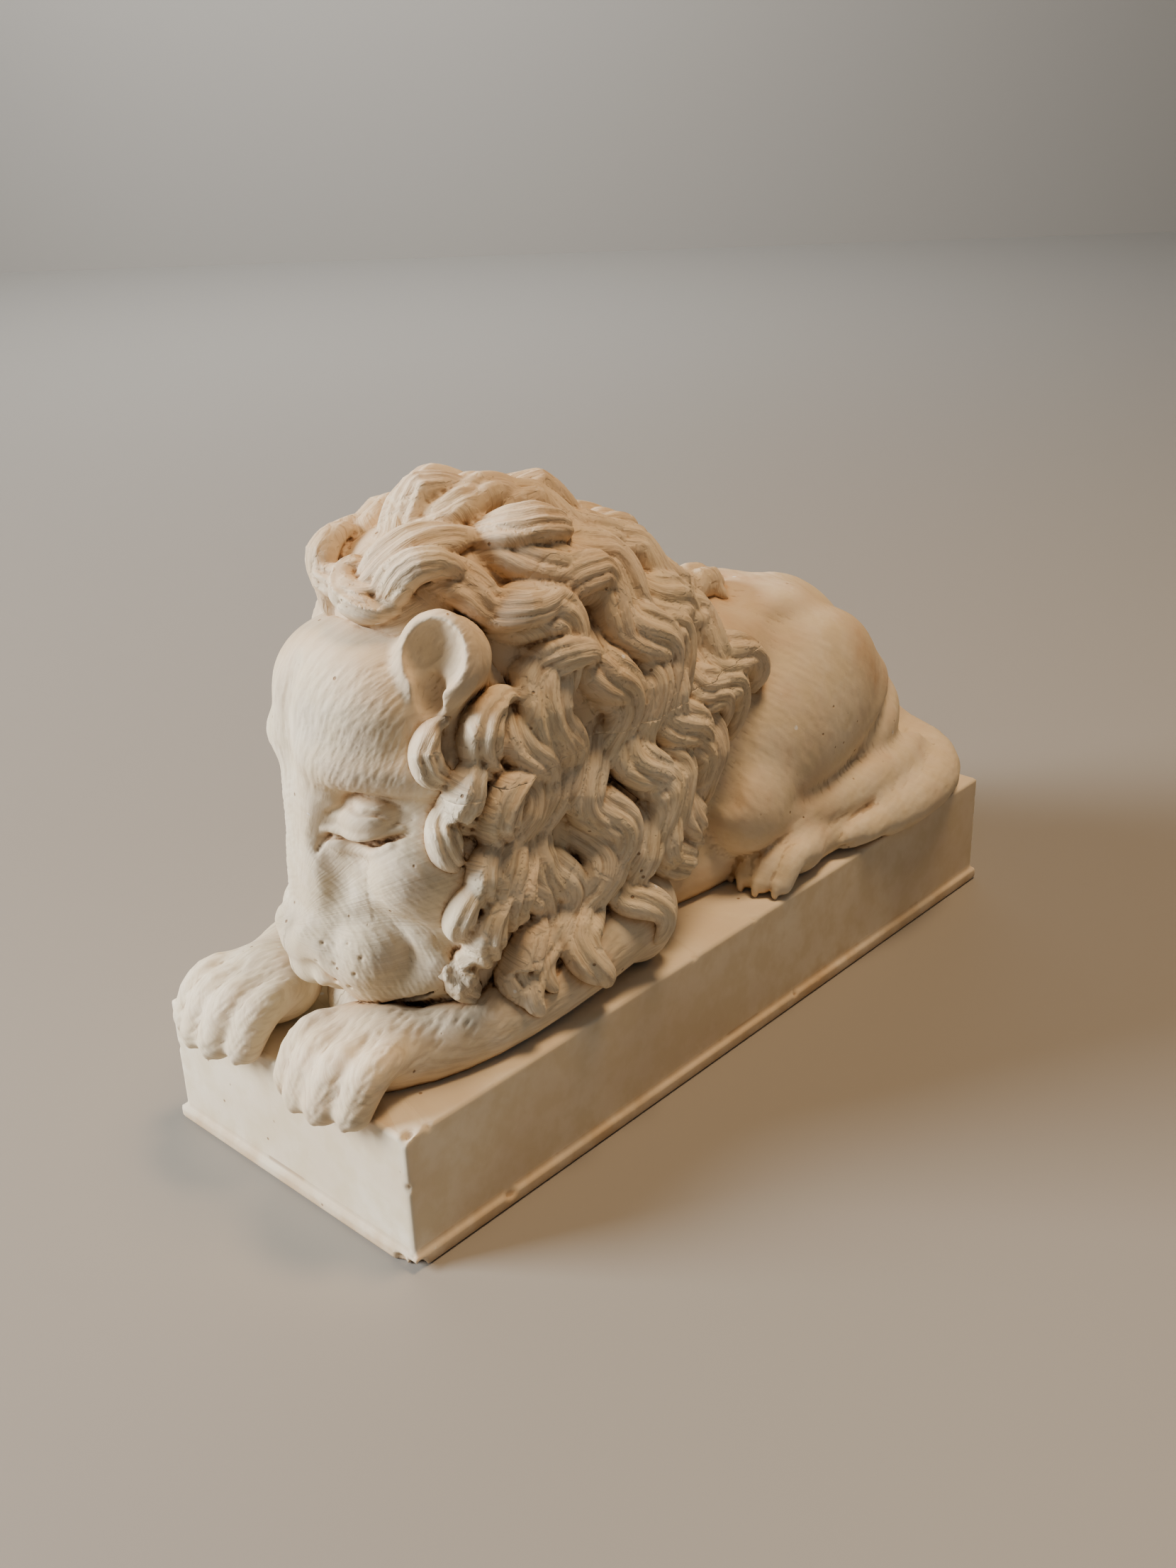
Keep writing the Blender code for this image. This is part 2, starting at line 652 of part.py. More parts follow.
def mane_locks(tree, steps, strands):
    """Nested locks, each row set between those above."""
    forms = []
    for count, (root, size, stray) in enumerate(mane_roots(tree)):

        def flow(spot, normal):
            return hair_flow(spot, normal, stray)

        path, normals = comb_path(tree, root, flow, LOCK_LENGTH * size, steps)
        width = LOCK_WIDTH * size
        if not covers_ear(path, width):
            forms += lock(path, normals, width, LOCK_THICK * size, strands, count)
    return forms


def curl_root(tree, angle, depth):
    """A spot on the head's side or top at an angle round the face, straight in towards it."""
    wide, middle, tall = FACE_OVAL
    out = unit(np.array((math.sin(angle) / wide, 0, math.cos(angle) / tall)))
    start = np.array((2.4 * wide * math.sin(angle), depth, middle + 2.0 * tall * math.cos(angle)))
    root = tree.ray_cast(Vector(bowed(start)), Vector(HEAD_SPIN @ -out))[0]
    return None if root is None else np.array(root)


def face_locks(tree, steps, strands):
    """Rings of curls round the face, each a comma: in towards it, down and back out."""
    chance = random.Random(5)
    first, last = [math.radians(v) for v in CURL_BEND]
    forms = []
    for ring, (depth, size) in enumerate(CURL_RINGS):
        for k in range(22):
            angle = math.radians(CURL_FROM + CURL_LANE * (k + 0.5 * (ring % 2)) + chance.uniform(-2, 2))
            low = max(0, -math.cos(angle))
            high = max(0, math.cos(angle))
            full = size * chance.uniform(0.9, 1.12) * (1 - 0.12 * high)
            turn = chance.uniform(0.8, 1.1)
            root = curl_root(tree, angle, depth + 5 * low - 8 * high)
            if root is None or root[2] < 10 or (ring and high > 0.7):
                continue
            side = 1 if math.sin(angle) > 0 else -1
            inwards = HEAD_SPIN @ (-0.3 * math.sin(angle), -1, -0.3 * math.cos(angle))
            bends = np.linspace(first, first + (last - first) * turn, steps)
            path, normals = curl_path(tree, root, inwards, side * bends, CURL_LENGTH * full)
            width = CURL_WIDTH * full
            if not covers_ear(path, width):
                forms += lock(path, normals, width, CURL_THICK * full, strands, 1000 + 50 * ring + k)
    return forms


def curl_path(tree, root, ahead, bends, length):
    """A hooked line on the skin, heading off by each of the angles in turn."""
    spot = root
    path = []
    normals = []
    for bend in bends:
        under, normal, _, _ = tree.find_nearest(Vector(spot))
        under = np.array(under)
        normal = np.array(normal)
        way = unit(ahead - normal * (ahead @ normal))
        heading = way * math.cos(bend) + np.cross(way, normal) * math.sin(bend)
        path.append(under)
        normals.append(normal)
        spot = under + heading * (length / (len(bends) - 1))
    return np.array(path), unit(np.array(normals))


def crown_locks(tree, steps):
    """Broad locks on the crown that sweep back and lift off it."""
    forms = []
    for count, (around, along, size, lean) in enumerate(TUFTS):
        spin = math.radians(around)
        out = np.array((math.sin(spin), 0, math.cos(spin)))
        root = tree.ray_cast(Vector(np.array((2, along, 60)) + out * 120), Vector(-out))[0]
        if root is None:
            continue
        root = np.array(root)
        bends = np.radians(TUFT_BEND) * lean * np.linspace(-0.8, 1, steps)
        path, normals = curl_path(tree, root, HEAD_SPIN @ (0.5 * out[0], 1, 0), bends, TUFT_LENGTH * size)
        t = np.linspace(0, 1, steps)
        path = path + normals * (TUFT_LIFT * size * np.sin(math.pi * t) ** 1.2)[:, None]
        width = TUFT_WIDTH * size
        if not covers_ear(path, width):
            forms += lock(path, normals, width, TUFT_THICK * size, TUFT_STRANDS, 2000 + count, 1.5)
    return forms


def plinth():
    """A plain block on a projecting lip, in parts, with its top at zero."""
    lip = LIP_HEIGHT / PART
    low = -PLINTH_HEIGHT / PART
    middle = BLOCK_MIDDLE / PART
    blocks = bmesh.new()
    for bottom, top, proud in ((low, low + lip, LIP_PROUD), (low + lip / 2, 0.0, 0.0)):
        size = ((BLOCK_WIDTH + 2 * proud) / PART, (BLOCK_LENGTH + 2 * proud) / PART, top - bottom)
        place = Matrix.Translation((0, middle, (top + bottom) / 2)) @ Matrix.Diagonal((*size, 1))
        block = bmesh.ops.create_cube(blocks, size=1, matrix=place)
        edges = list({e for v in block["verts"] for e in v.link_edges})
        bmesh.ops.bevel(blocks, geom=edges, offset=ARRIS / PART, segments=1, affect="EDGES")
    bmesh.ops.triangulate(blocks, faces=blocks.faces)
    blocks.verts.index_update()
    points = np.array([vert.co[:] for vert in blocks.verts])
    faces = np.array([[vert.index for vert in face.verts] for face in blocks.faces])
    blocks.free()
    return points, faces


def cast(forms):
    """The outer skin of all the forms together, as one closed and lightly softened shell."""
    counts = np.cumsum([0] + [len(points) for points, _ in forms])
    points = np.vstack([points for points, _ in forms])
    faces = np.vstack([faces + count for (_, faces), count in zip(forms, counts)])
    mesh = bpy.data.meshes.new("casting")
    mesh.from_pydata(points.tolist(), [], faces.tolist())
    helper = bpy.data.objects.new("casting", mesh)
    bpy.context.scene.collection.objects.link(helper)
    fuse = helper.modifiers.new("Fuse", "REMESH")
    fuse.mode = "VOXEL"
    fuse.voxel_size = CAST_GRAIN
    soften = helper.modifiers.new("Soften", "SMOOTH")
    soften.factor = 0.5
    soften.iterations = 1
    fused = bpy.data.meshes.new_from_object(helper.evaluated_get(bpy.context.evaluated_depsgraph_get()))
    bpy.data.objects.remove(helper)
    shell = bmesh.new()
    shell.from_mesh(fused)
    keep_outer_shell(shell)
    shell.to_mesh(fused)
    shell.free()
    return fused


def keep_outer_shell(shell):
    """Drops the skins of hollows sealed inside, which no mould would make."""
    left = set(shell.verts)
    largest = set()
    while left:
        first = left.pop()
        island = {first}
        rim = [first]
        while rim:
            near = {e.other_vert(v) for v in rim for e in v.link_edges} & left
            left -= near
            island |= near
            rim = list(near)
        largest = max(largest, island, key=len)
    bmesh.ops.delete(shell, geom=[v for v in shell.verts if v not in largest], context="VERTS")


def lion_statue():
    clay = new_clay(SPACE_LOW, SPACE_HIGH, CLAY_GRAIN)
    body(clay)
    legs(clay)
    tail(clay)
    mane_bulk(clay)
    clay["spin"] = HEAD_SPIN
    clay["shift"] = HEAD_SHIFT
    head(clay)
    ears(clay)
    face_lines(clay)
    figure = skin_of(clay)
    tree = BVHTree.FromPolygons(figure[0].tolist(), figure[1].tolist())
    forms = [figure, plinth()]
    forms += mane_locks(tree, LOCK_STEPS, LOCK_STRANDS)
    forms += face_locks(tree, CURL_STEPS, CURL_STRANDS)
    forms += crown_locks(tree, TUFT_STEPS)
    solid = cast(forms)
    solid.transform(Matrix.Translation((0, 0, PLINTH_HEIGHT)) @ Matrix.Diagonal((PART, PART, PART, 1)))
    return solid


def plaster():
    material = bpy.data.materials.new("plaster")
    material.use_nodes = True
    shader = material.node_tree.nodes["Principled BSDF"]
    shader.inputs["Base Color"].default_value = PLASTER
    shader.inputs["Roughness"].default_value = 0.75
    return material


def main():
    clear_scene()
    statue = bpy.data.objects.new("lion_statue", lion_statue())
    bpy.context.scene.collection.objects.link(statue)
    statue.data.materials.clear()
    statue.data.materials.append(plaster())
    facet = statue.modifiers.new("Facet", "DECIMATE")
    facet.ratio = FACETS / (2 * len(statue.data.polygons))


main()
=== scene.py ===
import math
import random
import time

import bpy
import numpy as np
from mathutils import Matrix, Vector
from mathutils.bvhtree import BVHTree
from mathutils.kdtree import KDTree


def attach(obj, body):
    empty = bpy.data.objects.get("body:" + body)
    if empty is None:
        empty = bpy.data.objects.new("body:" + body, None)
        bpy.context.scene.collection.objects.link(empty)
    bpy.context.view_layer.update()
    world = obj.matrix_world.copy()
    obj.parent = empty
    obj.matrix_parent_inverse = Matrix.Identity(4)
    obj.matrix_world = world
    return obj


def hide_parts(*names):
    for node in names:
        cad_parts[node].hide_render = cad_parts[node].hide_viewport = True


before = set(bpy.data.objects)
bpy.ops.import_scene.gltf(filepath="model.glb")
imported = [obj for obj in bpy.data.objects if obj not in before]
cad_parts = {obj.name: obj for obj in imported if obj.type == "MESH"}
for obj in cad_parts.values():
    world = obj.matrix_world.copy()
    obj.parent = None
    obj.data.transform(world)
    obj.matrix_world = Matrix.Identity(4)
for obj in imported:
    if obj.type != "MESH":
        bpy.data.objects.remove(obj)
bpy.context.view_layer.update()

started = time.time()

# The lion is shaped in parts of a millimetre, counted from the middle of the plinth's top
lion = {
    "partSize": 0.001,
    "plinthTop": 0.044,
    "spaceLow": (-74, -172, -16),
    "spaceHigh": (74, 158, 172),
    "combGrain": 1.3,
}
headPose = {"turn": -14, "pivot": (0, -100, 0), "aside": (5, 0, 0)}
ear = {"place": (30.5, -99, 120), "tilt": -17, "open": 43, "back": -5, "room": 9.5}
faceOval = {"side": 34, "middle": 62, "up": 55, "down": 64, "back": -82}
mane = {
    # on the flanks and the crown: rows in degrees from upright, and lanes along the neck
    "areas": (
        {"rows": (41, 56, 73, 92, 112), "lanes": range(-1, 14), "from": -120, "step": 12.2, "size": 1.0},
        {"rows": (3, 12, 21, 31), "lanes": range(7), "from": -108, "step": 21, "size": 1.18},
    ),
    "lockWidth": 16,
    "lockThick": 10,
    "lockLength": 43,
    "lockStrands": 3,
    "waveLength": 42,
    "waveTilt": 1.0,
    "crownFrom": 104,
    "crownReach": 40,
    "rearFrom": -70,
    "rearReach": 70,
    # the rear end at the top, and how far it comes forward for each degree from upright
    "rearEdge": (24, 0.42),
    "faceRoom": 11,
    "plinthRoom": 14,
    "seed": 11,
    # left to chance: degrees, place along, share of the size and lean of the flow
    "jitter": ((-2, 2), (-1.8, 1.8), (0.9, 1.12), (-0.06, 0.06)),
    "steps": 26,
    "space": ((-66, -130, -4), (66, 60, 162)),
    "bulkGrain": 1.2,
    "grain": 0.6,
    "triangles": 155000,
    "parts": {
        "mane_crown": (((0, 0, 84), (0, 0, -1)),),
        "mane_left": (((0, 0, 84), (0, 0, 1)), ((2, 0, 0), (-1, 0, 0))),
        "mane_right": (((0, 0, 84), (0, 0, 1)), ((2, 0, 0), (1, 0, 0))),
    },
}
# How a lock climbs from its sunken root and falls at the tip, and its strands and core
lockForm = {
    "sides": 12,
    "rise": (0.62, 0.38, 0.3),
    "riseBy": 2.3,
    "strandWide": 0.62,
    "strandTall": 0.5,
    "tipStep": 0.11,
    "tipChance": 0.08,
    "coreWide": 0.4,
    "coreTall": 0.44,
    "coreRaised": 0.04,
}
curls = {
    "rings": ((-99, 0.9), (-91, 1.05), (-82, 1.2)),
    "oval": (33, 58, 60),
    "from": -142,
    "lane": 13.5,
    "width": 11,
    "thick": 11,
    "length": 28,
    "bend": (25, 205),
    "seed": 5,
    # left to chance: degrees, share of the size and share of the bend
    "jitter": ((-2, 2), (0.9, 1.12), (0.8, 1.1)),
    "count": 22,
    "steps": 20,
    "strands": 3,
}
# The flame-shaped locks on the crown: degrees from upright, place along, size and lean
tufts = {
    "spots": (
        (-9, -110, 0.85, -1), (11, -109, 0.9, 1), (-27, -104, 0.85, -1), (27, -104, 0.85, 1),
        (1, -93, 1.0, 1), (20, -89, 1.0, -1), (-19, -89, 1.0, -1), (38, -80, 0.9, 1),
        (-38, -80, 0.9, -1), (9, -76, 1.1, -1), (-10, -74, 1.1, 1), (27, -68, 1.1, 1),
        (-27, -68, 1.1, -1), (3, -56, 1.1, 1),
    ),
    "length": 35,
    "width": 16,
    "thick": 11,
    "lift": 4,
    "bend": 55,
    "strands": 4,
    "blunt": 1.5,
    "steps": 26,
}


def stage(note):
    print("stage", note, round(time.time() - started, 1), "s")


def turnMatrix(turn):
    matrix = Matrix.Identity(3)
    for axis, angle in zip("XYZ", turn):
        matrix = Matrix.Rotation(math.radians(angle), 3, axis) @ matrix
    return np.array(matrix)


headSpin = turnMatrix((0, 0, headPose["turn"]))
headShift = np.array(headPose["pivot"]) + headPose["aside"] - headSpin @ headPose["pivot"]


def bowed(spot):
    # A spot on the level, straight head, moved to where the turned head has it
    return headSpin @ np.array(spot, float) + headShift


def unbowed(spot):
    return (np.array(spot, float) - headShift) @ headSpin


def unit(vectors):
    return vectors / np.maximum(np.linalg.norm(vectors, axis=-1, keepdims=True), 1e-9)


def smoothLine(points, count):
    # Catmull-Rom points along a given line
    points = np.array(points, float)
    ends = np.vstack([points[0] * 2 - points[1], points, points[-1] * 2 - points[-2]])
    at = np.linspace(0, len(points) - 1, count)
    k = np.minimum(at.astype(int), len(points) - 2)
    t = (at - k)[:, None]
    a, b, c, d = ends[k], ends[k + 1], ends[k + 2], ends[k + 3]
    return 0.5 * (2 * b + (c - a) * t + (2 * a - 5 * b + 4 * c - d) * t**2 + (3 * b - a - 3 * c + d) * t**3)


# Options of the two clay functions below for a form, or a cut, that both sides have
both = {"twin": True}
bothCut = {"twin": True, "cut": True}


def newClay(low, high, grain):
    # A block of space whose grid holds the distance to the clay's skin
    low = np.array(low, float)
    count = np.ceil((np.array(high) - low) / grain).astype(int) + 1
    far = np.full(count, 20.0, np.float32)
    return {"low": low, "grain": grain, "far": far, "spin": np.eye(3), "shift": np.zeros(3)}


def window(clay, low, high):
    # The grid between two corners, as slices and the coordinates of its spots
    count = clay["far"].shape
    first = np.clip(np.floor((low - clay["low"]) / clay["grain"]).astype(int), 0, count)
    last = np.clip(np.ceil((high - clay["low"]) / clay["grain"]).astype(int) + 1, 0, count)
    part = tuple(slice(a, b) for a, b in zip(first, last))
    x, y, z = [clay["low"][i] + clay["grain"] * np.arange(first[i], last[i]) for i in range(3)]
    return part, x[:, None, None], y[None, :, None], z[None, None, :]


def blendIn(clay, part, distance, blend, cut):
    # Adds a form to the clay, or cuts it away, with a fillet of the given reach
    old = clay["far"][part]
    way = 1 if cut else -1
    distance = -way * distance
    share = np.maximum(blend - np.abs(old - distance), 0) / blend
    nearer = np.maximum(old, distance) if cut else np.minimum(old, distance)
    clay["far"][part] = nearer + way * share * share * blend * 0.25


def addBall(clay, at, size, turn=(0, 0, 0), blend=4.0, cut=False, twin=False):
    # An ellipsoid of clay: middle, half sizes and a turn in degrees
    given = np.array(at, float)
    size = np.array(size, float)
    at = clay["spin"] @ given + clay["shift"]
    spin = clay["spin"] @ turnMatrix(turn)
    reach = np.abs(spin) @ size + blend + 2 * clay["grain"]
    part, x, y, z = window(clay, at - reach, at + reach)
    inner = outer = 0.0
    for i in range(3):
        across = (x - at[0]) * spin[0, i] + (y - at[1]) * spin[1, i] + (z - at[2]) * spin[2, i]
        inner = inner + (across / size[i]) ** 2
        outer = outer + (across / size[i] ** 2) ** 2
    inner = np.sqrt(inner)
    outer = np.sqrt(outer)
    blendIn(clay, part, inner * (inner - 1) / np.maximum(outer, 1e-6), blend, cut)
    if twin:
        addBall(clay, given * (-1, 1, 1), size, (turn[0], -turn[1], -turn[2]), blend, cut)


def addLimb(clay, line, blend=4.0, steps=10, cut=False, twin=False):
    # A tapering round limb. Each point of the line is (x, y, z, radius)
    given = np.array(line, float)
    line = smoothLine(line, steps)
    centre = line[:, :3] @ clay["spin"].T + clay["shift"]
    radius = np.maximum(line[:, 3], 0.05)
    reach = radius.max() + blend + 2 * clay["grain"]
    part, x, y, z = window(clay, centre.min(0) - reach, centre.max(0) + reach)
    best = np.full(np.broadcast_shapes(x.shape, y.shape, z.shape), 99.0)
    for a, b, thick, thin in zip(centre[:-1], centre[1:], radius[:-1], radius[1:]):
        step = b - a
        dx, dy, dz = x - a[0], y - a[1], z - a[2]
        t = np.clip((dx * step[0] + dy * step[1] + dz * step[2]) / max(step @ step, 1e-9), 0, 1)
        away = np.sqrt((dx - t * step[0]) ** 2 + (dy - t * step[1]) ** 2 + (dz - t * step[2]) ** 2)
        np.minimum(best, away - (thick + t * (thin - thick)), out=best)
    blendIn(clay, part, best, blend, cut)
    if twin:
        addLimb(clay, given * (-1, 1, 1, 1), blend, steps, cut)


def farAt(clay, spot):
    # The clay's distance value at a spot of the head, between the grid's own spots
    at = (clay["spin"] @ np.array(spot, float) + clay["shift"] - clay["low"]) / clay["grain"]
    k = np.floor(at).astype(int)
    share = at - k
    block = clay["far"][k[0] : k[0] + 2, k[1] : k[1] + 2, k[2] : k[2] + 2]
    for part in share:
        block = block[0] * (1 - part) + block[1] * part
    return block


def onSkin(clay, line):
    # Lays a line of (x, z, lift, radius) on the front of the face
    placed = []
    for x, z, lift, radius in line:
        y = -146.0
        while y < -90 and farAt(clay, (x, y, z)) > 0:
            y += 0.2
        placed.append((x, y - lift, z, radius))
    return placed


def skinOf(clay):
    # The clay's skin: a point in each cell that it passes through, and quads between them
    far = clay["far"]
    inside = far < 0
    corners = [(i, j, k) for i in (0, 1) for j in (0, 1) for k in (0, 1)]
    size = np.array(far.shape) - 1
    some = np.zeros(size, bool)
    every = np.ones(size, bool)
    for i, j, k in corners:
        block = inside[i : i + size[0], j : j + size[1], k : k + size[2]]
        some |= block
        every &= block
    cells = np.argwhere(some & ~every)
    value = {c: far[tuple((cells + c).T)] for c in corners}
    total = np.zeros((len(cells), 3))
    hits = np.zeros(len(cells))
    for a in corners:
        for axis in range(3):
            if a[axis]:
                continue
            b = tuple(1 if n == axis else a[n] for n in range(3))
            crossed = (value[a] < 0) != (value[b] < 0)
            spot = np.tile(np.array(a, float), (crossed.sum(), 1))
            spot[:, axis] += value[a][crossed] / (value[a][crossed] - value[b][crossed])
            total[crossed] += spot
            hits[crossed] += 1
    points = clay["low"] + clay["grain"] * (cells + total / hits[:, None])
    index = np.full(size, -1)
    index[tuple(cells.T)] = np.arange(len(cells))
    quads = []
    for axis in range(3):
        here = [slice(1, -1)] * 3
        there = list(here)
        here[axis] = slice(0, -1)
        there[axis] = slice(1, None)
        edges = np.argwhere(inside[tuple(here)] != inside[tuple(there)])
        leaving = inside[tuple(here)][tuple(edges.T)]
        spot = edges + [0 if n == axis else 1 for n in range(3)]
        ring = []
        for du, dv in ((0, 0), (-1, 0), (-1, -1), (0, -1)):
            at = spot.copy()
            at[:, (axis + 1) % 3] += du
            at[:, (axis + 2) % 3] += dv
            ring.append(index[tuple(at.T)])
        ring = np.stack(ring, -1)
        ring[~leaving] = ring[~leaving][:, ::-1]
        quads.append(ring)
    return points, np.vstack(quads)


def body(clay):
    # Barrel, shoulders and rump in one run, with the haunches folded at the sides
    addBall(clay, (0, -32, 46), (37, 54, 47))
    addBall(clay, (0, 30, 47), (32, 46, 44), blend=16)
    addBall(clay, (0, 84, 46), (30, 38, 41), blend=16)
    addBall(clay, (0, 30, 8), (35, 88, 18), blend=12)
    addLimb(clay, [(0, -20, 88, 5), (0, 40, 88, 5), (0, 84, 82, 5), (0, 112, 62, 5)], blend=8)
    addBall(clay, (26, -36, 46), (21, 30, 38), (10, 0, 0), blend=10, **both)
    addBall(clay, (15, 70, 84), (10, 16, 7), (-8, 0, 0), blend=9, **both)
    addBall(clay, (15, 30, 72), (15, 34, 17), blend=10, **both)
    addBall(clay, (27, 74, 50), (19, 34, 33), (16, 0, 0), blend=8, **both)
    addBall(clay, (31, 50, 41), (15.5, 30, 25), (36, 0, 0), blend=10, **both)
    addBall(clay, (36, 27, 27), (12, 15, 15), blend=8, **both)
    addBall(clay, (27, 100, 34), (16, 22, 26), blend=8, **both)
    flankFold = [(31, 34, 68, 0.4), (34, 27, 60, 2.2), (36, 20, 48, 2.8), (37, 14, 36, 1.8)]
    thighFold = [(36, 116, 50, 1.5), (42, 102, 40, 2), (46, 84, 28, 2)]
    addLimb(clay, flankFold, blend=7, **bothCut)
    addLimb(clay, thighFold, blend=8, **bothCut)


def paw(clay, at, width, reach, droop):
    # Four knuckled toes and their claws in front of a broad pad, pointing to -Y
    x, y, z = at
    addBall(clay, (x, y + 2, z + 2), (width * 0.45, reach * 0.66, z + 2.6))
    for i in range(4):
        share = i - 1.5
        across = x + share * width * 0.24
        tip = y - reach + abs(share) * reach * 0.14
        thick = width * (0.158 if abs(share) < 1 else 0.148)
        toe = [
            (x + (across - x) * 0.8, y + 3, z + 3, thick),
            (across, tip + reach * 0.5, z + 5, thick * 1.02),
            (across, tip + reach * 0.24, z + 2.5 - droop * 0.3, thick * 1.1),
            (across, tip + reach * 0.05, z - 2.6 - droop, thick * 0.98),
        ]
        claw = [
            (across, tip - 1.2, z - 1.6 - droop, 1.7), (across, tip - 2.8, z - 4.4 - droop, 1.4),
            (across, tip - 2.6, z - 6.6 - droop, 0.9),
        ]
        addLimb(clay, toe, blend=2.2, steps=8)
        addLimb(clay, claw, blend=1.0, steps=5)


def hindLegs(clay):
    # Folded under the thighs, the foot forward again on the plinth
    shank = [(36, 26, 22, 9), (40, 58, 17, 9), (42, 94, 17, 9), (40, 114, 17, 9)]
    foot = [(40, 117, 9, 7.5), (43, 100, 7.5, 7), (44.5, 76, 7, 7), (43.5, 54, 8, 8)]
    addLimb(clay, shank, **both)
    addBall(clay, (40, 123, 15), (5.5, 7, 9), **both)
    addLimb(clay, foot, blend=2.2, **both)
    for side in (1, -1):
        paw(clay, (side * 42.5, 40, 7), 26, 21, 0)


def forelegs(clay):
    # Forearms along the plinth, the paws side by side at its front edge
    forearm = [
        (40, -38, 19, 14), (41, -68, 13.5, 12.5), (40, -98, 9.5, 11), (35, -120, 7.5, 10.5),
        (27.5, -133, 7.5, 10.8),
    ]
    addLimb(clay, forearm, blend=6, **both)
    addBall(clay, (43, -38, 12), (8, 10, 11), blend=5, **both)
    for side in (1, -1):
        paw(clay, (side * 24.5, -134, 8), 37, 24, 2)


def tail(clay):
    # Round the rear, then forward along the plinth's edge on the lion's left, with a tuft
    line = [
        (0, 112, 42, 13), (6, 128, 28, 11.5), (22, 138, 13.5, 10.5), (38, 138, 9.5, 10),
        (49, 125, 8, 9.5), (52, 104, 7, 9), (51.5, 88, 6.5, 8),
    ]
    addLimb(clay, line, blend=5, steps=16)
    addBall(clay, (26, 122, 5), (22, 17, 15), blend=7)
    for k, (x, y, z) in enumerate(((52, 62, 3), (54, 67, 4), (48, 68, 3), (52, 58, 6))):
        hair = [
            (51.5, 90, 6.5, 6), (x * 0.5 + 26, 79, 6 + k % 2, 5.2), (x, y + 6, z + 2, 3.4),
            (x - 1, y, z, 0.8),
        ]
        addLimb(clay, hair, blend=1.2, steps=8)


def maneBulk(clay):
    # The mass under the locks: crown, neck and the ruff round the cheeks
    addBall(clay, (2, -66, 99), (40, 42, 50), blend=10)
    addBall(clay, (1, -34, 82), (42, 46, 54), blend=10)
    addBall(clay, (0, -2, 64), (39, 36, 45), blend=10)
    addBall(clay, (25, -54, 44), (17, 44, 44), blend=10, **both)
    addBall(clay, (26, -60, 18), (16, 36, 18), blend=10, **both)
    addBall(clay, (3, -91, 122), (26, 20, 24), (0, 0, headPose["turn"]), blend=8)


def head(clay):
    # The bowed head, straight and level here; the clay's own spin and shift turn it
    addBall(clay, (0, -88, 84), (36, 33, 44))
    addBall(clay, (0, -92, 40), (32, 25, 42), blend=12)
    addBall(clay, (0, -107, 104), (31, 24, 22), blend=10)
    bridge = [
        (4, -121, 104, 9), (4.5, -122, 86, 9.5), (4.5, -122.5, 66, 10), (4.5, -123, 50, 10.5),
        (4.5, -123.5, 32, 10.5),
    ]
    addLimb(clay, bridge, blend=4, **both)
    brow = [
        (5, -123, 96, 6), (11, -125, 93, 6.6), (18, -122, 91.5, 6.6), (26, -112.5, 90, 6),
        (32, -101, 88, 5),
    ]
    addLimb(clay, brow, blend=6, **both)
    addBall(clay, (25, -104, 60), (13, 18, 16), (0, 0, 14), blend=8, **both)
    addBall(clay, (14, -113, 52), (9, 11, 14), (0, -10, 0), blend=7, **both)
    sideHollow = [
        (12.5, -131.5, 69, 1.0), (15, -129.5, 62, 2.2), (16, -128.5, 54, 2.4), (15.5, -131, 48, 1.2),
    ]
    addLimb(clay, sideHollow, blend=5, **bothCut)
    addBall(clay, (28, -96, 44), (10, 17, 24), blend=8, **both)
    addBall(clay, (20, -98, 24), (10, 13, 18), blend=8, **both)
    addBall(clay, (12.4, -131.5, 72), (2.0, 5, 6.5), (0, 14, 0), blend=4, **bothCut)
    addBall(clay, (17.5, -116.6, 75), (10, 8.4, 6.6), (0, -14, -8), blend=2, **both)
    addBall(clay, (9, -116, 36), (11, 13, 14), blend=6, **both)
    jaw = [(0, -119, 5, 6.5), (9, -117.5, 6, 6.5), (18, -109, 11, 7), (26, -98, 17, 8)]
    addLimb(clay, jaw, blend=5, **both)
    addBall(clay, (15.4, -117.6, 32), (13, 14.6, 14.6), (0, 12, 16), blend=2.2, **both)
    hangingLip = [(18, -119, 23, 7.5), (26, -109, 27, 7.5), (31.5, -99, 34, 6.5)]
    addLimb(clay, hangingLip, blend=4, **both)
    addBall(clay, (0, -118, 20), (8, 12, 7), blend=3)
    padFold = [
        (13, -138, 50, 0.6), (19, -131.5, 49, 1.4), (26.5, -122, 46.5, 2.0), (32.5, -112, 43, 2.4),
        (36, -104, 37, 2.0), (37, -99, 28, 1.4),
    ]
    addLimb(clay, padFold, blend=5, **bothCut)
    addLimb(clay, [(0, -134.5, 86, 1.2), (0, -133, 100, 2.0), (0, -128.5, 116, 1.2)], blend=6, cut=True)
    addBall(clay, (0, -126, 34), (14.6, 13.4, 10.5), blend=4)
    addBall(clay, (0, -130, 26), (8.5, 7.8, 7), blend=2)
    wing = [(7, -135, 38, 3.0), (12, -132, 35.5, 3.6), (13.4, -130.8, 30.5, 3.2), (10.5, -132.6, 25.5, 2.2)]
    addLimb(clay, wing, blend=4, **both)


def earMiddle(side):
    return np.array(ear["place"]) * (side, 1, 1)


def earFacing(side):
    return turnMatrix((ear["tilt"], 0, side * ear["open"])) @ (0, -1, 0)


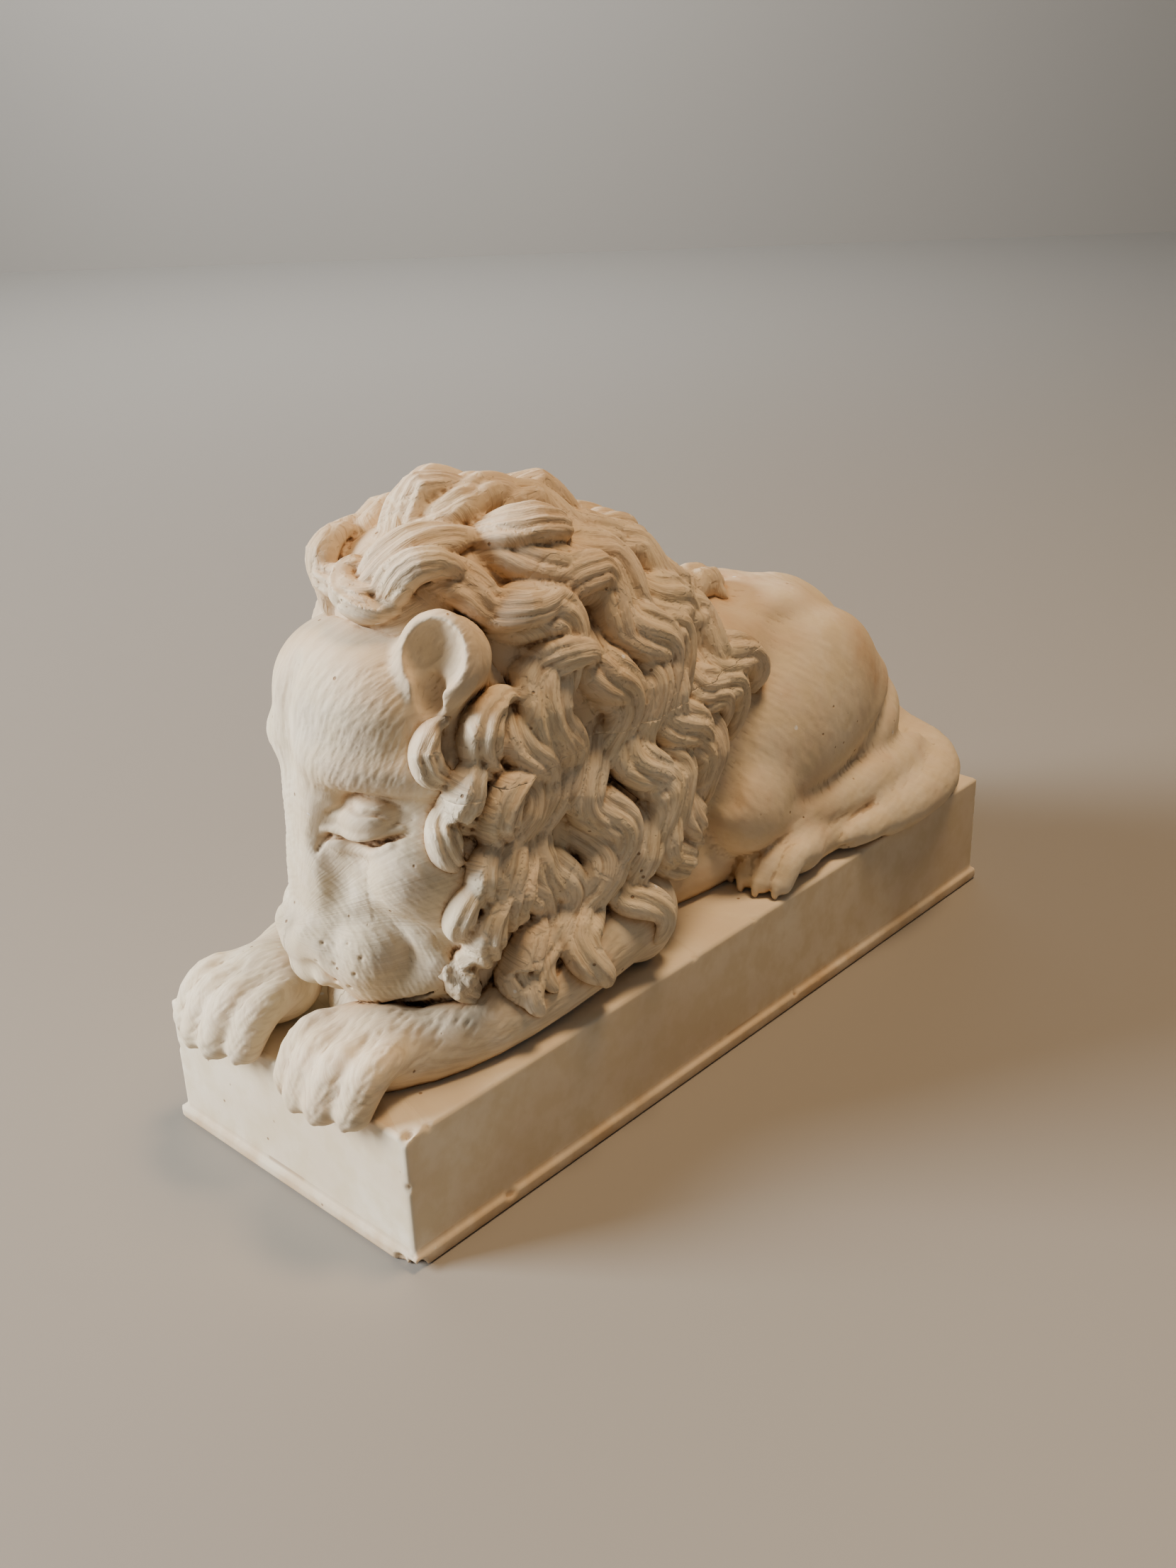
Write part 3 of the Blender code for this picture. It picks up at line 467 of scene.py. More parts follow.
def ears(clay):
    # Rounded cups, open to the front and outwards, set in the hair above the temples
    for side in (1, -1):
        turn = (ear["tilt"], 0, side * ear["open"])
        facing = earFacing(side)
        middle = earMiddle(side)
        addBall(clay, middle - facing * 7, (12, 12, 12), blend=5)
        addBall(clay, middle, (11.6, 6.5, 13.4), turn, blend=3)
        addBall(clay, middle + (-side * 2, 0, -9), (7.5, 6, 9), turn, blend=3)
        addBall(clay, middle + facing * 5.5 + (0, 0, 1.5), (8.4, 8.8, 9.6), turn, blend=1.6, cut=True)
        addBall(clay, middle + facing * 5.5 + (-side * 2, 0, -9), (4, 6, 7), turn, blend=2, cut=True)


def faceLines(clay):
    # Lids, nostrils, the mouth's line and the furrow below the nose
    # the lid lines lie on the skin: x, z, lift and radius
    lidEdge = [
        (10.5, 71.6, 0, 0.8), (14, 71.6, 0.2, 1.2), (19, 71.4, 0.2, 1.4), (24, 72.4, 0, 1.2),
        (28.5, 74.4, 0, 0.8),
    ]
    lowerLid = [
        (11, 67.4, 0, 0.8), (15, 66.2, 0, 1.3), (20, 65.8, 0, 1.5), (25, 67.4, 0, 1.3),
        (29, 70.4, 0, 0.8),
    ]
    slit = [
        (9.5, 68.6, 0, 0.6), (12, 69.4, 0, 0.9), (16, 69, 0, 1.0), (21, 68.8, 0, 1.0),
        (26, 70.4, 0, 0.9), (31, 73.6, 0, 0.5),
    ]
    tear = [(10.6, 69, 0, 0.8), (9.6, 67, 0, 0.7), (9.4, 64.6, 0, 0.3)]
    lidFold = [(12.5, 76.6, 0, 0.4), (17, 80, 0.2, 0.8), (23, 79.6, 0.2, 0.8), (29, 76.6, 0.2, 0.4)]
    nostril = [
        (4.5, -139.8, 25, 1.0), (7.8, -138.8, 28.4, 2.2), (11, -136.8, 30, 2.3),
        (15.4, -131.6, 27.4, 1.2),
    ]
    furrow = [(0, -139.4, 25.5, 0.5), (0, -137.6, 20, 0.9), (0, -133.6, 14.4, 1.0)]
    mouth = [
        (0, -132, 13, 1.4), (6, -133.4, 13.4, 1.7), (13, -131, 14.6, 2.0), (20.5, -123, 17.6, 2.1),
        (28, -112, 22.5, 2.1), (35, -99.5, 30, 1.8),
    ]
    raised, cut = ((lidEdge, 1.4), (lowerLid, 1.8)), ((slit, 0.7), (tear, 1.0), (lidFold, 1.6))
    for line, blend in raised:
        addLimb(clay, onSkin(clay, line), blend=blend, **both)
    for line, blend in cut:
        addLimb(clay, onSkin(clay, line), blend=blend, **bothCut)
    addLimb(clay, nostril, blend=1.4, **bothCut)
    addLimb(clay, furrow, blend=1.6, cut=True)
    addLimb(clay, mouth, blend=1.8, steps=16, **bothCut)


def hairFlow(spot, normal, stray):
    # Which way the hair lies at a spot: back over the crown, down the sides, in waves
    side = 1 if spot[0] > 0 else -1
    crown = min(1, max(0, (spot[2] - mane["crownFrom"]) / mane["crownReach"]))
    rear = min(1, max(0, (spot[1] - mane["rearFrom"]) / mane["rearReach"]))
    down = np.array((0, 0.06 + 0.55 * rear, -1))
    back = np.array((side * (0.35 + 0.025 * abs(spot[0])), 1, 0))
    flow = unit(down * (1 - crown) + back * crown)
    flow = unit(flow - normal * (flow @ normal))
    run = abs(spot[0]) - spot[2] + 0.45 * spot[1]
    phase = 2 * math.pi * (run / mane["waveLength"] + stray)
    swing = mane["waveTilt"] * (1 - 0.4 * crown) * math.cos(phase)
    return unit(flow + np.cross(normal, flow) * (side * swing))


def skinPath(tree, spot, length, steps, headingAt):
    # A line on the skin from a root, its heading chosen at each step, and the skin's normals
    heading = None
    path, normals = np.empty((2, steps, 3))
    for k in range(steps):
        under, normal = [np.array(found) for found in tree.find_nearest(Vector(spot))[:2]]
        heading = headingAt(k, under, normal, heading)
        path[k], normals[k] = under, normal
        spot = under + heading * (length / (steps - 1))
    return path, normals


def combPath(tree, root, flow, length, steps):
    # Follows the way the hair lies, a little behind it, and is smoothed at the end
    def headingAt(k, spot, normal, before):
        ahead = flow(spot, normal)
        return ahead if before is None else unit(before * 0.45 + ahead * 0.55)

    path, normals = skinPath(tree, root, length, steps, headingAt)
    for _ in range(2):
        for line in (path, normals):
            line[1:-1] = line[1:-1] * 0.5 + (line[:-2] + line[2:]) * 0.25
    return path, unit(normals)


def curlPath(tree, root, ahead, bends, length):
    # A hooked line, heading off by each of the angles in turn
    def headingAt(k, spot, normal, before):
        way = unit(ahead - normal * (ahead @ normal))
        return way * math.cos(bends[k]) + np.cross(way, normal) * math.sin(bends[k])

    path, normals = skinPath(tree, root, length, len(bends), headingAt)
    return path, unit(normals)


def loft(rings):
    # A closed tube through rings of points
    steps, sides = rings.shape[:2]
    points = np.vstack([rings.reshape(-1, 3), rings[0].mean(0), rings[-1].mean(0)])
    ring = np.arange(sides)
    after = (ring + 1) % sides
    level = np.arange(steps - 1)[:, None] * sides
    near = (level + ring).ravel()
    side = (level + after).ravel()
    top = (steps - 1) * sides
    root = np.full(sides, steps * sides)
    faces = [
        np.stack([near, side, side + sides], -1),
        np.stack([near, side + sides, near + sides], -1),
        np.stack([ring, root, after], -1),
        np.stack([ring + top, after + top, root + 1], -1),
    ]
    return points, np.vstack(faces)


def tube(centre, beside, normals, half, tall):
    # Oval rings along a line, closed at both ends
    turns = np.linspace(0, 2 * math.pi, lockForm["sides"], endpoint=False)
    wide = beside[:, None] * (half[:, None] * np.cos(turns))[..., None]
    high = normals[:, None] * (tall[:, None] * np.sin(turns))[..., None]
    return loft(centre[:, None] + wide + high)


def taper(t, blunt):
    # A lock's share of its full width along it: soon full, then drawn to a tip
    return np.minimum(1, 0.55 + 1.7 * t) * np.maximum(0, 1 - t**blunt) ** 0.6


def lock(path, normals, width, thick, strands, seed, blunt):
    # A bundle of tapering strands along a path, sunk at the root and parting at the tip
    chance = random.Random(seed)
    t = np.linspace(0, 1, len(path))
    beside = unit(np.cross(normals, unit(np.gradient(path, axis=0))))
    bodyShare = taper(t, blunt)
    climb, sunk, fall = lockForm["rise"]
    rise = thick * (climb * np.minimum(1, lockForm["riseBy"] * t) - sunk - fall * t**4)
    forms = []
    for k in range(strands):
        share = 2 * k / (strands - 1) - 1
        last = 1 - lockForm["tipStep"] * abs(share) - lockForm["tipChance"] * chance.random()
        full = taper(np.clip(t / last, 0, 1), blunt) + 0.02
        half = width * lockForm["strandWide"] / strands * full
        tall = thick * lockForm["strandTall"] * full**0.75
        spread = bodyShare * 0.75 + 0.25 * (1 - t)
        aside = width * (0.3 * share * spread + 0.06 * math.sin(seed + k) * t)
        hump = thick * 0.1 * (1 - share * share)
        centre = path + beside * aside[:, None] + normals * (rise + hump)[:, None]
        cut = max(3, int(np.searchsorted(t, last)) + 1)
        forms.append(tube(centre[:cut], beside[:cut], normals[:cut], half[:cut], tall[:cut]))
    # a broad core fills the valleys between the strands
    core = path + normals * (rise + thick * lockForm["coreRaised"])[:, None]
    half = width * lockForm["coreWide"] * bodyShare + 0.15
    tall = thick * lockForm["coreTall"] * bodyShare**0.75 + 0.15
    forms.append(tube(core, beside, normals, half, tall))
    return forms


def coversEar(path, width):
    # Whether a lock runs over an ear's opening; behind the ear it may pass
    for side in (1, -1):
        facing = headSpin @ earFacing(side)
        offset = path - bowed(earMiddle(side))
        ahead = offset @ facing
        across = np.linalg.norm(offset - ahead[:, None] * facing, axis=1)
        if np.any((ahead > ear["back"]) & (across < ear["room"] + 0.4 * width)):
            return True
    return False


def keepLock(locks, path, normals, width, thick, strands, seed, blunt=2.3):
    if not coversEar(path, width):
        forms = lock(path, normals, width, thick, strands, seed, blunt)
        locks.append({"path": path, "normals": normals, "strands": forms})


def faceEdge(spot):
    # How far a spot lies outside the face's oval; negative on the face
    x, y, z = unbowed(spot)
    if y > faceOval["back"]:
        return 99
    up = z - faceOval["middle"]
    return 36 * (math.hypot(x / faceOval["side"], up / faceOval["up" if up > 0 else "down"]) - 1)


def rootUnder(tree, out, y):
    # Where a ray towards the neck's own line meets the skin
    return tree.ray_cast(Vector(np.array((2, y, 60)) + out * 120), Vector(-out))[0]


def maneRoots(tree):
    # Where the locks start: rows down the flanks and lanes running back over the crown
    chance = random.Random(mane["seed"])
    rear, slant = mane["rearEdge"]
    spots = []
    for area in mane["areas"]:
        for row, around in enumerate(area["rows"]):
            for lane in area["lanes"]:
                spots.append((around, area["from"] + area["step"] * (lane + 0.5 * (row % 2)), area["size"]))
    roots = []
    for around, along, size in spots:
        for side in (1, -1):
            turn, shift, share, stray = [chance.uniform(*ends) for ends in mane["jitter"]]
            lean, y = math.radians(around + turn), along + shift
            if y > rear - slant * around:
                continue
            root = rootUnder(tree, np.array((side * math.sin(lean), 0, math.cos(lean))), y)
            if root is None or faceEdge(root) < mane["faceRoom"] or root[2] < mane["plinthRoom"]:
                continue
            edgeShare = 0.78 + 0.22 * min(1, faceEdge(root) / 40)
            roots.append((np.array(root), size * share * edgeShare, stray))
    return roots


def maneLocks(tree):
    # Nested locks, each row set between those above
    locks = []
    for count, (root, size, stray) in enumerate(maneRoots(tree)):

        def flow(spot, normal):
            return hairFlow(spot, normal, stray)

        path, normals = combPath(tree, root, flow, mane["lockLength"] * size, mane["steps"])
        width, thick = mane["lockWidth"] * size, mane["lockThick"] * size
        keepLock(locks, path, normals, width, thick, mane["lockStrands"], count)
    return locks


def curlRoot(tree, angle, depth):
    # A spot on the head's side or top at an angle round the face, straight in towards it
    wide, middle, tall = curls["oval"]
    out = unit(np.array((math.sin(angle) / wide, 0, math.cos(angle) / tall)))
    start = np.array((2.4 * wide * math.sin(angle), depth, middle + 2.0 * tall * math.cos(angle)))
    root = tree.ray_cast(Vector(bowed(start)), Vector(headSpin @ -out))[0]
    return None if root is None else np.array(root)


def faceLocks(tree):
    # Rings of curls round the face, each a comma: in towards it, down and back out
    chance = random.Random(curls["seed"])
    first, last = [math.radians(v) for v in curls["bend"]]
    locks = []
    for ring, (depth, size) in enumerate(curls["rings"]):
        for k in range(curls["count"]):
            shift, share, turn = [chance.uniform(*ends) for ends in curls["jitter"]]
            angle = math.radians(curls["from"] + curls["lane"] * (k + 0.5 * (ring % 2)) + shift)
            low = max(0, -math.cos(angle))
            high = max(0, math.cos(angle))
            full = size * share * (1 - 0.12 * high)
            root = curlRoot(tree, angle, depth + 5 * low - 8 * high)
            if root is None or root[2] < 10 or (ring and high > 0.7):
                continue
            side = 1 if math.sin(angle) > 0 else -1
            inwards = headSpin @ (-0.3 * math.sin(angle), -1, -0.3 * math.cos(angle))
            bends = side * np.linspace(first, first + (last - first) * turn, curls["steps"])
            path, normals = curlPath(tree, root, inwards, bends, curls["length"] * full)
            width, thick = curls["width"] * full, curls["thick"] * full
            keepLock(locks, path, normals, width, thick, curls["strands"], 1000 + 50 * ring + k)
    return locks


def crownLocks(tree):
    # Broad locks on the crown that sweep back and lift off it
    locks = []
    for count, (around, along, size, lean) in enumerate(tufts["spots"]):
        spin = math.radians(around)
        out = np.array((math.sin(spin), 0, math.cos(spin)))
        root = rootUnder(tree, out, along)
        if root is None:
            continue
        bends = np.radians(tufts["bend"]) * lean * np.linspace(-0.8, 1, tufts["steps"])
        backwards = headSpin @ (0.5 * out[0], 1, 0)
        path, normals = curlPath(tree, np.array(root), backwards, bends, tufts["length"] * size)
        t = np.linspace(0, 1, tufts["steps"])
        path = path + normals * (tufts["lift"] * size * np.sin(math.pi * t) ** 1.2)[:, None]
        width, thick = tufts["width"] * size, tufts["thick"] * size
        keepLock(locks, path, normals, width, thick, tufts["strands"], 2000 + count, tufts["blunt"])
    return locks


def treeOf(form):
    return BVHTree.FromPolygons(form[0].tolist(), form[1].tolist())


def joined(forms):
    # Several forms as one list of points and one of faces
    pointLists, faceLists = zip(*forms)
    before = np.cumsum([0] + [len(points) for points in pointLists])
    return np.vstack(pointLists), np.vstack([faces + count for faces, count in zip(faceLists, before)])


def pieceOf(forms, name):
    points, faces = joined(forms)
    mesh = bpy.data.meshes.new(name)
    mesh.vertices.add(len(points))
    mesh.vertices.foreach_set("co", points.ravel())
    mesh.loops.add(faces.size)
    mesh.loops.foreach_set("vertex_index", faces.ravel())
    mesh.polygons.add(len(faces))
    mesh.polygons.foreach_set("loop_start", np.arange(0, faces.size, faces.shape[1]))
    mesh.update(calc_edges=True)
    piece = bpy.data.objects.new(name, mesh)
    bpy.context.scene.collection.objects.link(piece)
    return piece


def pick(piece):
    bpy.ops.object.select_all(action="DESELECT")
    piece.select_set(True)
    bpy.context.view_layer.objects.active = piece


def applyModifier(piece, kind, **values):
    pick(piece)
    modifier = piece.modifiers.new("work", kind)
    for key, value in values.items():
        setattr(modifier, key, value)
    bpy.ops.object.modifier_apply(modifier="work")


def readAll(rows, key, wide, kind=float):
    values = np.empty(len(rows) * wide, kind)
    rows.foreach_get(key, values)
    return values.reshape(-1, wide)


def readPoints(piece):
    return readAll(piece.data.vertices, "co", 3)


def readNormals(piece):
    return readAll(piece.data.vertices, "normal", 3)


def writePoints(piece, points):
    piece.data.vertices.foreach_set("co", points.ravel())
    piece.data.update()


def formOf(piece):
    piece.data.calc_loop_triangles()
    return readPoints(piece), readAll(piece.data.loop_triangles, "vertices", 3, int)


def cutAway(piece, spot, outwards):
    # Takes off the hidden part of a piece beyond a plane and closes the cut
    pick(piece)
    bpy.ops.object.mode_set(mode="EDIT")
    bpy.ops.mesh.select_all(action="SELECT")
    bpy.ops.mesh.bisect(plane_co=spot, plane_no=outwards, use_fill=True, clear_outer=True)
    bpy.ops.object.mode_set(mode="OBJECT")


def triangleCount(piece):
    return sum(len(face.vertices) - 2 for face in piece.data.polygons)


def thin(piece, triangles):
    count = triangleCount(piece)
    if count > triangles:
        applyModifier(piece, "DECIMATE", ratio=triangles / count)


def spreadOut(values, edges, rounds):
    # Averages a value or a point with its neighbours' a number of times
    count = len(values)
    links = np.maximum(np.bincount(edges.ravel(), minlength=count).astype(float), 1)
    values = values.reshape(count, -1).astype(float)
    for _ in range(rounds):
        total = np.zeros_like(values)
        for k in range(values.shape[1]):
            total[:, k] += np.bincount(edges[:, 0], values[edges[:, 1], k], count)
            total[:, k] += np.bincount(edges[:, 1], values[edges[:, 0], k], count)
        values = values * 0.4 + total / links[:, None] * 0.6
    return values


def bowedHead(clay):
    # The head with its ears and lines, turned and set aside
    clay["spin"], clay["shift"] = headSpin, headShift
    head(clay)
    ears(clay)
    faceLines(clay)


def combFigure():
    # One coarse figure to comb the mane on, with the same forms and locks as the solid
    clay = newClay(lion["spaceLow"], lion["spaceHigh"], lion["combGrain"])
    for form in (body, hindLegs, forelegs, tail, maneBulk, bowedHead):
        form(clay)
    return treeOf(skinOf(clay))


figureTree = combFigure()
locks = maneLocks(figureTree) + faceLocks(figureTree) + crownLocks(figureTree)
stage("%d locks combed" % len(locks))


# How much longer or wider than its piece's own values a stroke of fur may be
furForm = {"seed": 3, "long": (0.6, 1.3), "wide": (0.8, 1.2)}


def combFur(piece, spots, flow, fur):
    # Presses short strokes of fur into the skin, each along the flow at a chosen spot
    chance = random.Random(furForm["seed"])
    points, normals = readPoints(piece), readNormals(piece)
    order = np.argsort(points[:, 1])
    level = points[order, 1]
    pressed = np.zeros(len(points))
    for _ in range(fur["count"]):
        k = spots[chance.randrange(len(spots))]
        way = flow(points[k], normals[k])
        way = unit(way - normals[k] * (way @ normals[k]))
        step = way * fur["length"] * chance.uniform(*furForm["long"])
        start = points[k] - step / 2
        width = fur["width"] * chance.uniform(*furForm["wide"])
        low = np.minimum(start, start + step) - width
        high = np.maximum(start, start + step) + width
        slab = order[np.searchsorted(level, low[1]) : np.searchsorted(level, high[1])]
        near = slab[((points[slab] > low) & (points[slab] < high)).all(1)]
        offset = points[near] - start
        t = np.clip(offset @ step / (step @ step), 0, 1)
        away = np.linalg.norm(offset - t[:, None] * step, axis=1)
        share = np.where(away < width, 0.5 + 0.5 * np.cos(math.pi * away / width), 0)
        share = share * np.sin(math.pi * t) ** 0.7
        pressed[near] = np.maximum(pressed[near], fur["depth"] * share)
    writePoints(piece, points - normals * pressed[:, None])


def carved(name, work, *forms):
    # A piece of clay in the space that its own values name
    clay = newClay(*work["space"], work["grain"])
    for form in forms:
        form(clay)
    return pieceOf([skinOf(clay)], name)


bodyWork = {
    "space": ((-66, -76, -4), (66, 156, 116)),
    "grain": 1.0,
    "trim": -64,
    "triangles": 140000,
    "fur": {"count": 5200, "length": 8.0, "width": 1.1, "depth": 0.2},
}


def bodyFlow(spot, normal):
    # The coat lies back along the spine, down over the haunches and forward on the feet
    x, y, z = spot
    side = 1 if x > 0 else -1
    if z < 22:
        return np.array((0.2 * side, -1, -0.2))
    return np.array((0.7 * side, 0.35 + 0.008 * (60 - y), -0.2 - 0.02 * (85 - z)))


def makeBody():
    piece = carved("lion_body", bodyWork, body, hindLegs, tail)
    cutAway(piece, (0, bodyWork["trim"], 0), (0, -1, 0))
    points = readPoints(piece)
    spots = np.flatnonzero((points[:, 2] > 8) & (points[:, 1] > -30))
    combFur(piece, spots, bodyFlow, bodyWork["fur"])
    thin(piece, bodyWork["triangles"])
    return piece


forelegWork = {
    "space": ((-64, -166, -9), (64, -18, 44)),
    "grain": 0.68,
    "trim": -30,
    "triangles": 115000,
    "fur": {"count": 900, "length": 6.0, "width": 1.1, "depth": 0.28},
}


def forelegFlow(spot, normal):
    return np.array((0.25 * spot[0] / 40, -1, -0.25))


def makeForelegs():
    piece = carved("lion_forelegs", forelegWork, forelegs)
    cutAway(piece, (0, forelegWork["trim"], 0), (0, 1, 0))
    points, normals = readPoints(piece), readNormals(piece)
    spots = np.flatnonzero((normals[:, 2] > -0.1) & (points[:, 1] < -60))
    combFur(piece, spots, forelegFlow, forelegWork["fur"])
    thin(piece, forelegWork["triangles"])
    return piece


headWork = {
    "space": ((-54, -154, -4), (58, -60, 140)),
    "grain": 0.5,
    "trim": -78,
    "triangles": 190000,
    "fur": {"count": 5200, "length": 6.0, "width": 0.75, "depth": 0.2},
    "pits": ((14, 39), (20, 40), (25, 37), (13, 33), (18, 33.5), (24, 32), (15, 27), (21, 26.5)),
    "pitSize": 0.62,
    "pitDepth": 0.7,
}


def faceFlow(spot, normal):
    # Which way the short fur of the face lies
    x, y, z = unbowed(spot)
    side = 1 if x > 0 else -1
    if abs(x) > 22 and z > 104:  # the ears' backs
        way = (0.5 * side, 0.6, 0.8)
    elif z > 84:  # the forehead
        way = (0.35 * x / 20, 0.2, 1)
    elif abs(x) < 12 and z > 46:  # the bridge of the nose
        way = (side, 0.3, -0.55)
    elif z > 40:  # the cheeks
        way = (0.5 * side, 0.7, -0.5 - 0.02 * (70 - z))
    else:
        way = (0.3 * side, 0.35, -1)
    return headSpin @ way


def onFace(points):
    # The part of the head that carries short fur
    local = unbowed(points)
    x, y, z = np.abs(local[:, 0]), local[:, 1], local[:, 2]
    eye = np.hypot(x - 17, z - 74) < 10
    nose = (x < 15) & (z < 40) & (z > 20) & (y < -127)
    earBack = (x > 22) & (z > 104) & (z < 137) & (y > -112)
    return np.flatnonzero(((y < -88) & (z < 118) & (z > 8) & ~eye & ~nose) | earBack)


def pressPits(piece):
    # Small whisker pits in the pads
    tree = treeOf(formOf(piece))
    points, normals = readPoints(piece), readNormals(piece)
    for x, z in headWork["pits"]:
        for side in (1, -1):
            start = bowed((side * x, -160, z))
            spot = tree.ray_cast(Vector(start), Vector(headSpin @ (0, 1.0, 0)))[0]
            away = np.linalg.norm(points - np.array(spot), axis=1) / headWork["pitSize"]
            points -= normals * (headWork["pitDepth"] * np.exp(-(away**2)))[:, None]
    writePoints(piece, points)


def makeHead():
    piece = carved("lion_head", headWork, bowedHead)
    cutAway(piece, bowed((0, headWork["trim"], 0)), headSpin @ (0, 1, 0))
    pressPits(piece)
    combFur(piece, onFace(readPoints(piece)), faceFlow, headWork["fur"])
    thin(piece, headWork["triangles"])
    return piece


def makeMane():
    # The bulk and all its locks as one skin, then parted in three where the locks hide the joint
    clay = newClay(*mane["space"], mane["bulkGrain"])
    maneBulk(clay)
    points, quads = skinOf(clay)
    forms = [(points, np.vstack([quads[:, [0, 1, 2]], quads[:, [0, 2, 3]]]))]
    for each in locks:
        forms += each["strands"]
    whole = pieceOf(forms, "mane_whole")
    applyModifier(whole, "REMESH", mode="VOXEL", voxel_size=mane["grain"])
    applyModifier(whole, "SMOOTH", factor=0.5, iterations=1)
    parts = []
    for name, cuts in mane["parts"].items():
        piece = whole.copy()
        piece.data = whole.data.copy()
        piece.name = piece.data.name = name
        bpy.context.scene.collection.objects.link(piece)
        for spot, outwards in cuts:
            cutAway(piece, spot, outwards)
        thin(piece, mane["triangles"])
        parts.append(piece)
    bpy.data.objects.remove(whole)
    return parts


pieces = [makeBody(), makeForelegs(), makeHead()]
stage("body, forelegs and head skinned")
pieces += makeMane()
stage("mane fused")


# Chips are middle and size, the corner's and the lip's own ones being listed one by one
plinthWork = {
    "width": 109.2,
    "length": 297.2,
    "lipHeight": 4.8,
    "lipProud": 1.6,
    "arris": 0.9,
    "lipArris": 1.1,
    "grain": 0.8,
    "triangles": 70000,
    "seed": 3,
    "chips": 90,
    "chipSize": (0.35, 0.9),
    "chipShape": (0.7, 1.6),
    "placedChips": [
        (54.6, -148.6, 1, 2.6), (53, -146, 1.5, 2.0), (54.6, -140, 0.4, 1.7),
        (54.4, -148, -43, 2.4), (50, -150, -42.6, 1.8), (56.2, -112, -39.4, 1.8),
    ],
}


def addBlock(clay, low, high, rounding):
    low, high = np.array(low), np.array(high)
    part, *place = window(clay, low - 6, high + 6)
    middle = (low + high) / 2
    half = (high - low) / 2 - rounding
    dx, dy, dz = [np.abs(place[i] - middle[i]) - half[i] for i in range(3)]
    outer = np.sqrt(np.maximum(dx, 0) ** 2 + np.maximum(dy, 0) ** 2 + np.maximum(dz, 0) ** 2)
    inner = np.minimum(np.maximum(np.maximum(dx, dy), dz), 0)
    blendIn(clay, part, outer + inner - rounding, 1.0, False)


def makePlinth():
    w = plinthWork
    x, y = w["width"] / 2, w["length"] / 2
    low = -lion["plinthTop"] / lion["partSize"]
    clay = newClay((-60, -155, low - 4), (60, 155, 4), w["grain"])
    addBlock(clay, (-x, -y, low + 2), (x, y, 0), w["arris"])
    proud, lipTop = w["lipProud"], low + w["lipHeight"]
    addBlock(clay, (-x - proud, -y - proud, low), (x + proud, y + proud, lipTop), w["lipArris"])
    chance = random.Random(w["seed"])
    chips = []
    for _ in range(w["chips"]):
        edge = chance.choice(("side", "side", "end", "corner", "lip"))
        size = w["chipSize"][0] + w["chipSize"][1] * chance.random() ** 3
        side, end = chance.choice((-1, 1)), chance.choice((-1, 1))
        along = chance.uniform(-1, 1)
        spots = {
            "side": (side * x, along * y, size * 0.3, size),
            "end": (along * x, end * y, size * 0.3, size),
            "corner": (side * x, end * y, low * (0.5 + 0.5 * along), size),
            "lip": (side * (x + proud), along * y, lipTop - 0.4, size * 0.8),
        }
        chips.append(spots[edge])
    for *spot, size in chips + w["placedChips"]:
        shape = [size * chance.uniform(*w["chipShape"]) for _ in range(3)]
        turn = [chance.uniform(0, 90) for _ in range(3)]
        addBall(clay, spot, shape, turn, blend=0.5, cut=True)
    piece = pieceOf([skinOf(clay)], "plinth")
    thin(piece, w["triangles"])
    return piece


pieces.append(makePlinth())
stage("plinth")

# How closed in each point is, for painted shade and dirt in the hollows, and where hands have rubbed, as
# attributes on each piece
shadeAndWearWork = {"reach": 10.0, "tilt": 50, "rays": 4, "lift": 0.12, "ridge": (3, 0.08), "swell": (14, 0.5)}


def keepAttribute(piece, name, values):
    kind, key = ("FLOAT_VECTOR", "vector") if values.ndim == 2 else ("FLOAT", "value")
    layer = piece.data.attributes.new(name, kind, "POINT")
    layer.data.foreach_set(key, values.astype(np.float32).ravel())


def shelter(piece, tree):
    # How closed in each point is by what stands around it, from 0 in the open to 1
    points, normals = readPoints(piece), readNormals(piece)
    away = np.where(np.abs(normals[:, 2:]) < 0.9, (0.0, 0.0, 1.0), (1.0, 0.0, 0.0))
    first = unit(np.cross(normals, away))
    second = np.cross(normals, first)
    starts = (points + normals * shadeAndWearWork["lift"]).tolist()
    reach, tilt = shadeAndWearWork["reach"], math.radians(shadeAndWearWork["tilt"])
    total = np.zeros(len(points))
    for k in range(shadeAndWearWork["rays"]):
        a = 2 * math.pi * k / shadeAndWearWork["rays"]
        way = normals * math.cos(tilt) + (first * math.cos(a) + second * math.sin(a)) * math.sin(tilt)
        hits = [tree.ray_cast(start, towards, reach)[3] for start, towards in zip(starts, way.tolist())]
        total += np.array([0.0 if hit is None else 1 - hit / reach for hit in hits])
    return total / shadeAndWearWork["rays"]


wholeTree = treeOf(joined([formOf(piece) for piece in pieces]))
for piece in pieces:
    edges = readAll(piece.data.edges, "vertices", 2, int)
    points, normals = readPoints(piece), readNormals(piece)
    # the closed-in share becomes painted shade, with some dirt, in hollows, creases and between pieces
    keepAttribute(piece, "shadeAndDirt", spreadOut(shelter(piece, wholeTree), edges, 1)[:, 0])
    for name in ("ridge", "swell"):
        rounds, size = shadeAndWearWork[name]
        proud = ((points - spreadOut(points, edges, rounds)) * normals).sum(1)
        keepAttribute(piece, name, proud / size)
stage("dirt and wear")

strokeWork = {"lift": 5, "jump": 3, "alongApart": 37.0, "acrossApart": 61.0}


